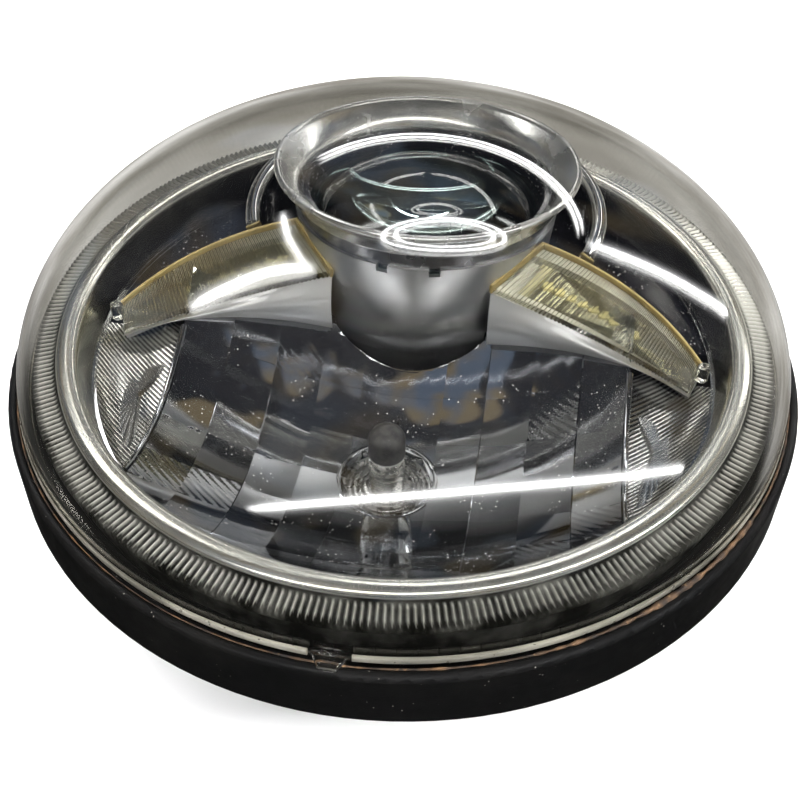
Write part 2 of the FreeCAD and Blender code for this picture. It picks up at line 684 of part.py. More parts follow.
# Rear covers with their seals, breather and inlet
for node, cap_y, radius in (("low", low_cap_y, low_neck), ("high", high_axis_y, high_neck)):
    outer = radius + slip + cap_wall
    plate_top = cap_bottom + cap_wall
    cap = turned([
        (0, cap_bottom), (outer, cap_bottom, 1.2), (outer, neck_end + cap_lap, corner),
        (radius + slip, neck_end + cap_lap), (radius + slip, plate_top), (0, plate_top)], 0, cap_y)
    grip_half = radius * 0.7
    grip = block(-grip_half, grip_half, cap_y - grip_width / 2, cap_y + grip_width / 2, 1.0, cap_bottom + 1)
    grip = grip.makeFillet(1.0, grip.Edges[:4])
    lugs = [disc(2.2, cap_bottom + 1, neck_end + cap_lap - 1, x, cap_y + y)
            for x, y in around(8, outer - 0.9)]
    inside = disc(radius + slip, plate_top, base_top, 0, cap_y)
    save(joined([cap, grip] + lugs).cut(inside), "rear_cap_" + node)
    save(ring(radius - house_wall, radius, plate_top, neck_end, 0, cap_y), "cap_seal_" + node)
vent = turned([(vent_radius - 1.5, base_top - 9), (vent_radius - 1.5, base_top - house_wall),
               (vent_radius, base_top - house_wall), (vent_radius, base_top - 11, 1.5), (0, base_top - 11),
               (0, base_top - 9)], vent_x, 0)
save(vent, "breather_cap")
inlet = turned([(0, base_top - 8), (inlet_radius, base_top - 8, 1.5), (inlet_radius, base_top - house_wall),
                (inlet_radius - 2.0, base_top - house_wall), (inlet_radius - 2.0, base_top),
                (inlet_radius - 0.5, base_top), (inlet_radius - 1.2, base_top + 2.0), (0, base_top + 2.0)],
               inlet_x, 0)
save(inlet, "wire_inlet")
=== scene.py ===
# %% [markdown]
# # A round motorbike headlight, dressed for its picture
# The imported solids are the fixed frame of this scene: they are already in metres and in place. This
# lesson keeps every solid whose shape is right and gives it a finish, and it rebuilds with numpy
# the pieces whose charm is in their fine relief: the clear dome, the fluted bezel, the faceted
# reflector and the daylight bars.

# %% Load the frame
import bmesh
import bpy
import numpy as np
from mathutils import Matrix


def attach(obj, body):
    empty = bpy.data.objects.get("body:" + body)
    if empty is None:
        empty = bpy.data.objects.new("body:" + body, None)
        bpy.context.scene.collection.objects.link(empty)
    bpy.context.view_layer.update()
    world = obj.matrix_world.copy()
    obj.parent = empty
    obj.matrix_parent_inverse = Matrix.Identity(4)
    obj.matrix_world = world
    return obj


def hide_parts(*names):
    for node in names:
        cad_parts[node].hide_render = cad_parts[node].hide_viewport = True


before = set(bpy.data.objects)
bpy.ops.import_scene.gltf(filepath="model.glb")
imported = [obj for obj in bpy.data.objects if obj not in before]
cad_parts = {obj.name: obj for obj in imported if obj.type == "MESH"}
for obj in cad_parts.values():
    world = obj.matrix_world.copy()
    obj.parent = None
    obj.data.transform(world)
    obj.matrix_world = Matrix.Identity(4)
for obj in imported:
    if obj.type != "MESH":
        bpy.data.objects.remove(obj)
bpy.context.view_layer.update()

MM = 0.001

# %% [markdown]
# ## Camera
# The lamp lies on its back and is seen from the front and above, about 44 degrees up, from a third
# of a metre. A view could be aimed with a constraint, but here the three axes of the camera are
# written out: the back axis from its turn and height, the right axis level with the floor, and the
# up axis across both.

# %% Camera
IMAGE = 800
focal_pixels, film_width = 1200, 36.0
look_at = np.array([0.0, 0.0, 70.0])
turn, height, distance = np.radians(7.9), np.radians(44.1), 348.7
yaw, pitch, roll = np.radians(0.2), np.radians(0.7), np.radians(0.7)


def back_axis(a, e):
    """Unit vector from the lamp to a camera at turn a and height e: (sin a cos e, -cos a cos e,
    sin e)."""
    return np.array([np.sin(a) * np.cos(e), -np.cos(a) * np.cos(e), np.sin(e)])


spot = look_at + distance * back_axis(turn, height)
back = back_axis(turn + yaw, height + pitch)
right = np.array([np.cos(turn + yaw), np.sin(turn + yaw), 0.0])
upward = np.cross(back, right)
right, upward = (right * np.cos(roll) + upward * np.sin(roll),
                 upward * np.cos(roll) - right * np.sin(roll))
pose = np.eye(4)
pose[:3, 0], pose[:3, 1], pose[:3, 2], pose[:3, 3] = right, upward, back, spot * MM
lens_data = bpy.data.cameras.new("photo_camera")
lens_data.sensor_width = film_width
lens_data.lens = film_width * focal_pixels / IMAGE
lens_data.clip_start = 0.01
camera = bpy.data.objects.new("photo_camera", lens_data)
camera.matrix_world = Matrix(pose.tolist())
bpy.context.scene.collection.objects.link(camera)
bpy.context.scene.camera = camera
print("camera at", np.round(spot, 1), "mm")

# %% [markdown]
# ## Grids, outlines and pieces
# Nearly every piece here is a grid of points, so three helpers carry the lesson. `grid` joins
# neighbours of a grid into four-sided faces, `rounded` turns a few corners into an outline with
# arcs, and `turned` carries an outline round an axis. `piece` puts the grids into one mesh, merges
# poles and seams and turns the faces outward.

# %% Grid and outline helpers


def grid(points, ring_u=False, ring_v=False):
    """Points of a (u, v) grid and its faces: each face joins a point with its next ones along u
    and v."""
    count_u, count_v = points.shape[:2]
    index = np.arange(count_u * count_v).reshape(count_u, count_v)
    if ring_u:
        index = np.vstack([index, index[:1]])
    if ring_v:
        index = np.hstack([index, index[:, :1]])
    faces = np.stack([index[:-1, :-1], index[1:, :-1], index[1:, 1:], index[:-1, 1:]], -1)
    return points.reshape(-1, 3), faces.reshape(-1, 4)


def rounded(corners, steps=6, closed=True):
    """Outline through corners (r, z, radius): each corner is replaced by a curve that leaves one
    side a radius before the corner and joins the next side a radius after it, bending as a
    quadratic blend of the three points."""
    spots = np.array([c[:2] for c in corners], float)
    radii = [c[2] if len(c) > 2 else 0.0 for c in corners]
    t = np.linspace(0, 1, steps)[:, None]
    line = []
    for i, radius in enumerate(radii):
        here, last, after = spots[i], spots[i - 1], spots[(i + 1) % len(spots)]
        if radius == 0 or (not closed and i in (0, len(spots) - 1)):
            line.append(here[None])
            continue
        start = here + (last - here) / np.linalg.norm(last - here) * radius
        stop = here + (after - here) / np.linalg.norm(after - here) * radius
        line.append((1 - t) ** 2 * start + 2 * t * (1 - t) * here + t ** 2 * stop)
    return np.concatenate(line)


def turned(outline, count=256, middle=(0.0, 0.0), first=0.0, last=360.0):
    """Outline point (r, z) goes round the axis: x = r cos a, y = r sin a; a part turn is closed
    at both ends by drawing the outline together to its middle."""
    whole = last - first >= 360.0
    a = np.radians(np.linspace(first, last, count, endpoint=not whole))
    outline = np.asarray(outline, float)
    r, z = outline[:, 0:1], outline[:, 1:2]
    points = np.stack([r * np.cos(a), r * np.sin(a), z + 0 * a], -1)
    if not whole:
        ends = points[:, [0, -1]].mean(0, keepdims=True) + 0 * points[:, [0, -1]]
        points = np.concatenate([ends[:, :1], points, ends[:, 1:]], 1)
    return points + np.array([middle[0], middle[1], 0.0])


print("helpers for grids and outlines ready")

# %% Ends and pieces


def closed_ends(tube):
    """Draws both ends of a tube of sections together to their middles."""
    ends = tube[[0, -1]].mean(1, keepdims=True) + 0 * tube[[0, -1]]
    return np.concatenate([ends[:1], tube, ends[1:]])


merge_within = 0.002 * MM


def mesh_of(name, points, faces, finish):
    """Smooth mesh of points in millimetres and four-sided faces, put into the scene."""
    mesh = bpy.data.meshes.new(name)
    mesh.from_pydata((points * MM).tolist(), [], faces.tolist())
    mesh.polygons.foreach_set("use_smooth", np.ones(len(mesh.polygons), bool))
    mesh.materials.append(finish)
    made = bpy.data.objects.new(name, mesh)
    bpy.context.scene.collection.objects.link(made)
    return made


def piece(name, grids, finish, stands_for=(), sharp=38.0):
    """One mesh from several grids in millimetres, merged at poles and seams, faces outward,
    sharp above an angle."""
    points, faces, total = [], [], 0
    for spots, quads in grids:
        points.append(spots)
        faces.append(quads + total)
        total += len(spots)
    made = mesh_of(name, np.concatenate(points), np.concatenate(faces), finish)
    mesh = made.data
    shape = bmesh.new()
    shape.from_mesh(mesh)
    bmesh.ops.remove_doubles(shape, verts=shape.verts, dist=merge_within)
    bmesh.ops.recalc_face_normals(shape, faces=shape.faces)
    shape.to_mesh(mesh)
    shape.free()
    mesh.set_sharp_from_angle(angle=np.radians(sharp))
    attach(made, "root")
    if stands_for:
        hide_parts(*stands_for)
    print("piece", name, len(mesh.polygons), "faces")
    return made


def spots_of(made):
    """Points of a piece as x, y, z in millimetres."""
    spots = np.zeros(len(made.data.vertices) * 3)
    made.data.vertices.foreach_get("co", spots)
    return spots.reshape(-1, 3).T / MM


def number_on(mesh, name, values):
    """Keeps one number per point on a mesh, for a finish to read."""
    kept = mesh.attributes.new(name, "FLOAT", "POINT")
    kept.data.foreach_set("value", np.asarray(values, np.float32).ravel())


def dress(nodes, finish):
    """Gives a finish to solids whose shape stays."""
    for node in nodes:
        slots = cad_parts[node].data.materials
        slots.clear()
        slots.append(finish)
    print("dressed", len(nodes), "solids in", finish.name)


print("points merge within", merge_within, "m")

# %% [markdown]
# ## Finishes
# A finish is a small graph of nodes in front of one Principled shader. `Graph` keeps the wiring
# short: it gives noise and specks in the piece's own space, so that a pattern stays put on it, and
# maps them to values with a ramp. `Finish` adds the shader and turns the values into roughness or
# fine relief. Dust and hairline scratches are what make a used lamp look real.

# %% Graph of nodes
ramp_reach = 0.2


class Graph:
    """Nodes of one shader tree, with the coordinates that place their patterns."""

    def __init__(self, tree, coordinates):
        self.tree = tree
        self.place = tree.nodes.new("ShaderNodeTexCoord").outputs[coordinates]

    def feed(self, socket, value):
        """Wires another node's output into a socket, or sets a plain number or colour on it."""
        if hasattr(value, "is_output"):
            self.tree.links.new(value, socket)
        elif hasattr(value, "__len__") and len(value) == 3 and socket.type == "RGBA":
            socket.default_value = (*value, 1.0)
        else:
            socket.default_value = value

    def add(self, kind, **inputs):
        """New node with its inputs fed."""
        node = self.tree.nodes.new(kind)
        for key, value in inputs.items():
            self.feed(node.inputs[key.replace("_", " ")], value)
        return node

    def stretched(self, scale, angle):
        """The coordinates, scaled and turned."""
        mapped = self.add("ShaderNodeMapping", Vector=self.place)
        mapped.inputs["Scale"].default_value = scale
        mapped.inputs["Rotation"].default_value = angle
        return mapped.outputs["Vector"]

    def noise(self, size_mm, detail=2.0, where=None):
        """Soft mottling with blots of about this size."""
        node = self.add("ShaderNodeTexNoise", Vector=where or self.place, Detail=detail,
                        Scale=1000.0 / size_mm)
        return node.outputs["Fac"]

    def specks(self, pitch_mm, size_mm):
        """White dots of a size, one to a cell of the pitch, with about half of the cells left
        out."""
        node = self.add("ShaderNodeTexVoronoi", Vector=self.place, Scale=1000.0 / pitch_mm)
        share = size_mm / pitch_mm
        dot = self.ramp(node.outputs["Distance"], (0.35 * share, 1.0), (0.6 * share, 0.0))
        return self.times(dot, self.ramp(self.noise(9.0 * pitch_mm), (0.5, 0.0), (0.6, 1.0)))

    def scratches(self, pitch_mm, angle):
        """Hairlines: noise drawn out along one direction, cut to its thin crests."""
        drawn_out = self.stretched((1.0, 0.03, 1.0), (0.0, 0.0, np.radians(angle)))
        long = self.noise(pitch_mm, 1.0, drawn_out)
        return self.ramp(long, (0.69, 0.0), (0.71, 1.0))

    def ramp(self, value, *stops):
        """Grey or colour ramp; a stop is (place, grey) or (place, (r, g, b))."""
        node = self.tree.nodes.new("ShaderNodeValToRGB")
        self.tree.links.new(value, node.inputs["Fac"])
        bar = node.color_ramp.elements
        while len(bar) < len(stops):
            bar.new(0.5)
        for mark, (place, shade) in zip(bar, stops):
            mark.position = place
            mark.color = (*(shade if hasattr(shade, "__len__") else (shade,) * 3), 1.0)
        return node.outputs["Color"]

    def times(self, a, b):
        """Product of two values."""
        node = self.tree.nodes.new("ShaderNodeMath")
        node.operation = "MULTIPLY"
        self.feed(node.inputs[0], a)
        self.feed(node.inputs[1], b)
        return node.outputs["Value"]

    def over(self, colour, cover, under):
        """Lays a colour over another one where the cover is white."""
        node = self.tree.nodes.new("ShaderNodeMix")
        node.data_type = "RGBA"
        self.feed(node.inputs[0], cover)
        self.feed(node.inputs[6], under)
        self.feed(node.inputs[7], colour)
        return node.outputs[2]

    def share(self, value, start, stop):
        """0 where a value is at start, 1 at stop, straight between."""
        node = self.add("ShaderNodeMapRange", Value=value, From_Min=start, From_Max=stop)
        return node.outputs["Result"]

    def by_height(self, *stops):
        """Ramp over the height, which spans the ramp's reach; a stop is (millimetres, shade)."""
        height = self.add("ShaderNodeSeparateXYZ", Vector=self.place).outputs["Z"]
        marks = ((z * MM / ramp_reach, shade) for z, shade in stops)
        return self.ramp(self.times(height, 1.0 / ramp_reach), *marks)

    def number(self, name):
        """Number that a mesh keeps on its points."""
        node = self.add("ShaderNodeAttribute")
        node.attribute_name = name
        return node.outputs["Fac"]


print("patterns ready: noise, specks, scratches")

# %% Finish builder


class Finish(Graph):
    """One Principled material and the nodes in front of it."""

    def __init__(self, name, colour, roughness, metallic=0.0, **sockets):
        self.material = bpy.data.materials.new(name)
        self.material.use_nodes = True
        super().__init__(self.material.node_tree, "Object")
        self.shader = self.tree.nodes["Principled BSDF"]
        self.shader.inputs["Base Color"].default_value = (*colour, 1.0)
        self.shader.inputs["Roughness"].default_value = roughness
        self.shader.inputs["Metallic"].default_value = metallic
        for socket, value in sockets.items():
            self.shader.inputs[socket.replace("_", " ")].default_value = value
        print("finish", name)

    def wire(self, value, socket):
        """Wires a value into the shader."""
        self.tree.links.new(value, self.shader.inputs[socket])

    def relief(self, value, depth_mm, strength=0.5):
        """Fine relief from a grey pattern."""
        node = self.add("ShaderNodeBump", Height=value, Strength=strength, Distance=depth_mm * MM)
        normal = self.shader.inputs["Normal"]
        if normal.is_linked:
            self.tree.links.new(normal.links[0].from_socket, node.inputs["Normal"])
        self.tree.links.new(node.outputs["Normal"], normal)

    def haze(self, low, high, size_mm=14.0):
        """Roughness from a low to a high value in soft blots."""
        return self.ramp(self.noise(size_mm, 4.0), (0.35, low), (0.7, high))

    def orange_peel(self):
        """Slow, shallow waves of plating on plastic."""
        self.relief(self.noise(6.0, 2.0), 0.006, 0.12)

    def let_lamps_through(self, tint):
        """Rays from lamps go straight through the glass and are only tinted, so they light what
        is behind it."""
        mixed = self.tree.nodes.new("ShaderNodeMixShader")
        self.feed(mixed.inputs[0], self.tree.nodes.new("ShaderNodeLightPath").outputs["Is Shadow Ray"])
        self.feed(mixed.inputs[1], self.shader.outputs["BSDF"])
        self.feed(mixed.inputs[2], self.add("ShaderNodeBsdfTransparent", Color=tint).outputs["BSDF"])
        self.feed(self.tree.nodes["Material Output"].inputs["Surface"], mixed.outputs["Shader"])


print("finish builder ready")

# %% [markdown]
# ## Chrome, plated on plastic
# Vacuum-plated chrome is a mirror that never stays clean: a faint haze, a little orange peel and
# dust specks that lie on it. A plain metal with one roughness looks like a computer's chrome, so
# haze and dust drive the roughness.

# %% Chrome finish
dust_grey = (0.62, 0.60, 0.56)


def chrome_finish(name, colour=(0.86, 0.86, 0.85), haze=(0.03, 0.10), dust=True):
    """Metal whose roughness follows a soft veil from the first to the second haze; dust specks are
    grey, dull and no metal."""
    made = Finish(name, colour, 0.05, 1.0)
    rough = made.haze(*haze)
    if dust:
        specks = made.specks(1.5, 0.34)
        made.wire(made.over(dust_grey, specks, colour), "Base Color")
        made.wire(made.ramp(specks, (0.0, 1.0), (0.6, 0.0)), "Metallic")
        rough = made.over((0.7, 0.7, 0.7), specks, rough)
    made.wire(rough, "Roughness")
    made.orange_peel()
    return made.material


chrome = chrome_finish("chrome_plate", (0.80, 0.80, 0.79), (0.05, 0.14))
mirror = chrome_finish("reflector_plate", (0.54, 0.55, 0.57), (0.03, 0.09))
dark_chrome = chrome_finish("chrome_dark", (0.26, 0.26, 0.27), (0.22, 0.30), dust=False)
soft_chrome = chrome_finish("chrome_soft", (0.88, 0.88, 0.87), (0.20, 0.30))

# %% [markdown]
# ## Clear lens
# The dome is injected polycarbonate, clear with a grey-olive cast that deepens where the wall is
# seen edge-on. Transmission with a slightly tinted base gives that: light through two walls is
# tinted twice. Hairline scratches and a veil of dirt sit in the roughness.

# %% Clear lens finish


def clear_lens_finish():
    """Clear plastic, more olive the more edge-on the wall is seen; a veil and hairlines dull it."""
    made = Finish("lens_clear", (0.9, 0.9, 0.88), 0.0, Transmission_Weight=1.0, IOR=1.45)
    slant = made.add("ShaderNodeLayerWeight", Blend=0.5).outputs["Facing"]
    tint = made.ramp(slant, (0.2, (0.93, 0.93, 0.92)), (0.6, (0.84, 0.83, 0.79)),
                     (0.92, (0.54, 0.52, 0.46)))
    made.wire(tint, "Base Color")
    hair = made.scratches(0.7, 27.0)
    veil = made.ramp(made.noise(30.0, 5.0), (0.45, 0.0), (0.8, 0.02))
    made.wire(made.over((0.08, 0.08, 0.08), hair, veil), "Roughness")
    made.let_lamps_through((0.93, 0.93, 0.91))
    return made.material


lens_clear = clear_lens_finish()

# %% [markdown]
# ## Moulded black plastics
# The bucket and its rim are satin black with a fine moulded grain, paler where dust has settled and
# along scuffs. The mask beside the low beam is polished black, so it mirrors the room and shows
# every speck.

# %% Black plastic finishes


def moulded_black(name, shade, rough):
    """Black of one shade, brownish in blots of dirt, grey in specks; grain and scuffs are relief."""
    made = Finish(name, (shade,) * 3, rough, Specular_IOR_Level=0.10)
    grime_and_shade = made.ramp(made.noise(26.0, 6.0), (0.48, 0.0), (0.75, 0.5))
    specks = made.specks(2.4, 0.34)
    base = made.over((2.6 * shade, 2.4 * shade, 2.1 * shade), grime_and_shade, (shade, shade, shade * 1.03))
    made.wire(made.over((0.20, 0.19, 0.17), specks, base), "Base Color")
    made.wire(made.ramp(made.noise(9.0, 4.0), (0.3, rough - 0.07), (0.7, rough + 0.12)), "Roughness")
    made.relief(made.noise(0.55, 2.0), 0.05, 0.35)
    made.relief(made.scratches(2.2, 12.0), 0.03, 0.25)
    return made.material


def polished_black():
    """Black gloss with smears in its roughness and pale, dull specks."""
    made = Finish("mask_black", (0.006, 0.006, 0.008), 0.08, Specular_IOR_Level=0.14)
    specks = made.specks(1.4, 0.46)
    made.wire(made.over((0.42, 0.41, 0.39), specks, (0.006, 0.006, 0.008)), "Base Color")
    smears = made.ramp(made.noise(18.0, 4.0), (0.4, 0.05), (0.8, 0.16))
    made.wire(made.over((0.75, 0.75, 0.75), specks, smears), "Roughness")
    made.relief(made.noise(7.0, 1.0), 0.02, 0.12)
    return made.material


housing_black = moulded_black("housing_black", 0.0032, 0.44)
cap_black = moulded_black("cap_black", 0.008, 0.5)
rubber_black = moulded_black("seal_rubber", 0.010, 0.62)
mask_black = polished_black()

# %% [markdown]
# ## Glass, metal and small finishes
# The projector lens is pressed glass with a green-blue cast. Bulb glass carries a dark painted tip,
# brass and castings are grainy, and the daylight bars are pale acrylic with amber edges. Each is
# the same idea: one base, a pattern that the process leaves, and a little age.

# %% Glass and metal finishes


def pressed_glass():
    """Green-blue glass with a trace of haze and the slow waves of pressing."""
    made = Finish("projector_glass", (0.62, 0.76, 0.74), 0.0, Transmission_Weight=1.0, IOR=1.52)
    made.wire(made.ramp(made.noise(16.0, 4.0), (0.5, 0.0), (0.8, 0.03)), "Roughness")
    made.relief(made.noise(12.0, 1.0), 0.02, 0.05)
    made.let_lamps_through((0.75, 0.82, 0.80))
    return made.material


def grained_finish(name, colour, rough, grain_mm, metallic=1.0):
    """Grain of a size in the relief, wear of twice that size in the roughness, and tone of four
    times that size between seven tenths of the colour and the whole."""
    made = Finish(name, colour, rough, metallic)
    tone = made.noise(grain_mm * 4.0, 4.0)
    made.wire(made.ramp(tone, (0.3, tuple(0.7 * c for c in colour)), (0.7, colour)), "Base Color")
    wear = made.noise(grain_mm * 2.0, 3.0)
    made.wire(made.ramp(wear, (0.3, rough - 0.1), (0.7, rough + 0.12)), "Roughness")
    made.relief(made.noise(grain_mm, 2.0), 0.06, 0.4)
    return made.material


glass_green = pressed_glass()
cast_alloy = grained_finish("cast_alloy", (0.42, 0.42, 0.43), 0.45, 0.8)
dark_alloy = grained_finish("dark_alloy", (0.035, 0.040, 0.045), 0.5, 0.8)
zinc_steel = grained_finish("zinc_steel", (0.60, 0.60, 0.58), 0.32, 1.4)
bulb_metal = grained_finish("bulb_metal", (0.46, 0.455, 0.44), 0.26, 1.0)
brass = grained_finish("insert_brass", (0.72, 0.52, 0.22), 0.30, 0.6)
board_cream = grained_finish("board_cream", (0.60, 0.57, 0.42), 0.40, 0.9, 0.0)
diode_yellow = grained_finish("diode_yellow", (0.72, 0.66, 0.38), 0.28, 0.5, 0.0)

# %% Bulb glass
paint_edge_mm = 0.4


def tipped_bulb_glass(name, dark_from_mm):
    """Clear quartz with a painted tip: the paint starts above a height along the bulb."""
    made = Finish(name, (0.95, 0.95, 0.93), 0.02, Transmission_Weight=1.0, IOR=1.45)
    paint = made.by_height((dark_from_mm - paint_edge_mm, 0.0), (dark_from_mm, 1.0))
    mottle = made.ramp(made.noise(1.6, 3.0), (0.3, (0.010, 0.010, 0.012)), (0.7, (0.035, 0.034, 0.032)))
    made.wire(made.over(mottle, paint, (0.95, 0.95, 0.93)), "Base Color")
    made.wire(made.ramp(paint, (0.0, 1.0), (1.0, 0.0)), "Transmission Weight")
    made.wire(made.ramp(paint, (0.0, 0.02), (1.0, 0.42)), "Roughness")
    made.relief(made.noise(1.2, 2.0), 0.03, 0.2)
    return made.material


high_bulb_glass = tipped_bulb_glass("bulb_glass_high", 73.0)
low_bulb_glass = tipped_bulb_glass("bulb_glass_low", 150.0)

# %% Acrylic of the daylight bars


def bar_finish(name, colour, rough, clear):
    """Acrylic of the daylight bars, clouded a little along its length."""
    made = Finish(name, colour, rough, Transmission_Weight=clear, IOR=1.49)
    cloud = made.noise(6.0, 4.0)
    made.wire(made.ramp(cloud, (0.3, tuple(0.82 * c for c in colour)), (0.7, colour)), "Base Color")
    made.wire(made.ramp(made.noise(3.0, 3.0), (0.35, rough), (0.75, rough + 0.04)), "Roughness")
    made.relief(made.noise(1.1, 2.0), 0.01, 0.12)
    if clear == 1.0:
        made.let_lamps_through(colour)
    return made.material


prism_pale = grained_finish("prism_pale", (0.50, 0.495, 0.41), 0.13, 1.2, 0.9)
bar_clear = bar_finish("bar_clear", (0.96, 0.95, 0.86), 0.01, 1.0)
bar_amber = bar_finish("bar_amber", (0.60, 0.46, 0.20), 0.10, 0.6)

# %% [markdown]
# ## Sealant
# The dome is glued into the rim channel with a dark compound. It has gone brown and crusty where it
# was squeezed out, with rust-coloured dust in its folds, so its colour follows two sizes of
# mottling and its relief is coarse.

# %% Sealant finish


def sealant_finish():
    """Three browns over a coarse crust, rust where the fine mottling is high; both are relief."""
    made = Finish("sealant_brown", (0.05, 0.03, 0.02), 0.7)
    crust = made.noise(5.0, 6.0)
    fine = made.noise(1.3, 4.0)
    base = made.ramp(crust, (0.35, (0.012, 0.010, 0.009)), (0.55, (0.060, 0.034, 0.018)),
                     (0.75, (0.17, 0.095, 0.045)))
    rusty = made.ramp(fine, (0.6, 0.0), (0.75, 0.8))
    made.wire(made.over((0.24, 0.15, 0.08), rusty, base), "Base Color")
    made.wire(made.ramp(fine, (0.3, 0.55), (0.7, 0.85)), "Roughness")
    made.relief(crust, 0.5, 0.6)
    made.relief(fine, 0.2, 0.6)
    return made.material


sealant_brown = sealant_finish()
sealant_dark = moulded_black("sealant_dark", 0.004, 0.6)

# %% [markdown]
# ## Plating that darkens towards its foot
# The barrel and the trays are plated like the reflector but blasted to a soft sheen. Their colour is painted
# dark towards their feet: a painted shade where little light arrives, and on the barrel also a painted
# reflection of the dark reflector below it. The shade is a ramp over the height.

# %% Shaded plating


def plate_with_painted_shade(name, haze, *stops):
    """Soft chrome painted darker towards its foot, a painted shade: a stop is (height in mm, grey)."""
    made = Finish(name, (0.7, 0.7, 0.7), haze[0], 1.0)
    made.wire(made.by_height(*stops), "Base Color")
    made.wire(made.haze(*haze), "Roughness")
    made.orange_peel()
    return made.material


# painted shade: barrel and trays are painted darker towards their feet
barrel_plate = plate_with_painted_shade("barrel_plate", (0.32, 0.38), (79.0, 0.04), (88.0, 0.28), (97.0, 0.64))
tray_satin = plate_with_painted_shade("tray_satin", (0.40, 0.48), (77.0, 0.18), (85.0, 0.48), (92.0, 0.66))

# %% [markdown]
# ## Solids that keep their shape
# Most of the solids are right as they are: turned, moulded and stamped pieces with plain surfaces.
# They only get their finish, so the picture and the construction stay one and the same.

# %% Dress the solids that keep their shape
dress(["rear_housing"], housing_black)
dress(["rear_cap_low", "rear_cap_high", "breather_cap", "wire_inlet"], cap_black)
dress(["cap_seal_low", "cap_seal_high"], rubber_black)
dress(["barrel_gasket"], dark_chrome)
dress(["black_mask", "lens_retainer"], mask_black)
dress(["mount_inserts"], brass)
dress(["projector_bowl"], cast_alloy)
dress(["lens_carrier"], dark_alloy)
dress(["cutoff_shield", "projector_screws", "bezel_screws"], zinc_steel)
dress(["low_bulb_clip", "high_bulb_clip"], zinc_steel)
dress(["low_bulb_base"], bulb_metal)
dress(["high_bulb_capsule"], high_bulb_glass)
dress(["low_bulb_capsule"], low_bulb_glass)
dress(["lens_sealant"], sealant_dark)
dress(["projector_lens"], glass_green)
dress(["barrel_shroud"], barrel_plate)
dress(["drl_board_left", "drl_board_right"], board_cream)
dress(["drl_leds_left", "drl_leds_right"], diode_yellow)

# %% [markdown]
# ## The clear dome
# The dome is half an ellipsoid on a straight skirt that stands in the glue channel. A sphere
# squashed with a modifier would lose its even wall, so the outline is written out: outer quarter
# ellipse, foot, inner quarter ellipse. Turned once, it is a closed shell, and the double
# reflections of a real lens come by themselves.

# %% Dome
dome_radius, dome_base, dome_height, lens_wall = 105.0, 88.3, 55.4, 2.5
skirt_outer, skirt_bottom = 103.5, 77.0


def dome_outline(inset, count):
    """Quarter ellipse from the apex to the foot: r = a sin t, z = base + h cos t, both axes less
    by the inset."""
    t = np.linspace(0, np.pi / 2, count)
    wide, tall = dome_radius - inset, dome_height - inset
    return np.stack([wide * np.sin(t), dome_base + tall * np.cos(t)], 1)


skirt_inner, foot_round = skirt_outer - lens_wall, 0.5
foot = rounded([(dome_radius, dome_base - 0.4), (dome_radius, dome_base - 1.4, foot_round),
                (skirt_outer, dome_base - 1.6, foot_round), (skirt_outer, skirt_bottom, foot_round),
                (skirt_inner, skirt_bottom, foot_round), (skirt_inner, dome_base)], 5, closed=False)
shell = np.concatenate([dome_outline(0.0, 90), foot, dome_outline(lens_wall, 70)[::-1]])
piece("lens_dome", [grid(turned(shell, 288), ring_v=True)], lens_clear, ["outer_lens"])

# %% [markdown]
# ## Bead and tab at the foot of the dome
# Where dome and skirt meet, a milky bead shows as a pale line, because light runs down inside the
# wall and comes out there. The line is broken at one place by a small trapezoid tab that lies over
# the rim. The bead is a part turn of a rounded section; the tab is a rounded section drawn outward
# while it narrows.

# %% Bead and tab


def bead_finish():
    """Milky plastic between a dark and a pale tone, with a fine crust."""
    made = Finish("lens_bead", (0.50, 0.48, 0.41), 0.35, Transmission_Weight=0.5, IOR=1.45)
    milky = made.noise(24.0, 5.0)
    made.wire(made.ramp(milky, (0.35, (0.10, 0.095, 0.075)), (0.65, (0.40, 0.38, 0.32))), "Base Color")
    made.wire(made.ramp(made.noise(2.0, 3.0), (0.3, 0.25), (0.7, 0.5)), "Roughness")
    made.relief(made.noise(1.5, 3.0), 0.06, 0.4)
    return made.material


lens_bead = bead_finish()
tab_turn, tab_half = -90.5, 2.75
bead = rounded([(103.2, 86.5, 0.6), (105.2, 86.7, 0.8), (105.2, 88.9, 0.8), (103.2, 88.6, 0.6)], 5)
bead_ring = turned(bead, 400, first=tab_turn + tab_half, last=tab_turn + 360.0 - tab_half)
reach = np.linspace(0, 1, 14)[:, None]
edge = np.linspace(0, 2 * np.pi, 40, endpoint=False)
tab_root, tab_narrows, tab_start, tab_length, tab_level, tab_thick = 4.9, 2.7, 103.4, 4.7, 87.4, 1.9
side_bulge = np.abs(np.cos(edge)) ** 0.35 * np.sign(np.cos(edge))
top_bulge = np.abs(np.sin(edge)) ** 0.6 * np.sign(np.sin(edge))
out = tab_start + tab_length * reach
across = (tab_root - tab_narrows * reach) * side_bulge
lift = tab_level + tab_thick / 2 * top_bulge + 0 * reach
a = np.radians(tab_turn)
tab = np.stack([out * np.cos(a) - across * np.sin(a), out * np.sin(a) + across * np.cos(a), lift], -1)
tab = closed_ends(tab)
piece("lens_bead", [grid(bead_ring, ring_u=True)], lens_bead)
piece("lens_tab", [grid(tab, ring_v=True)], lens_clear)

# %% [markdown]
# ## Squeezed-out sealant
# The compound stands a little out of the joint, thick on one side and hardly there on the other. It
# is a thin tube round the joint whose thickness is a sum of a few waves, stronger towards the near
# right.

# %% Squeezed sealant
thickest_at, thick_spread = -42.0, 0.55


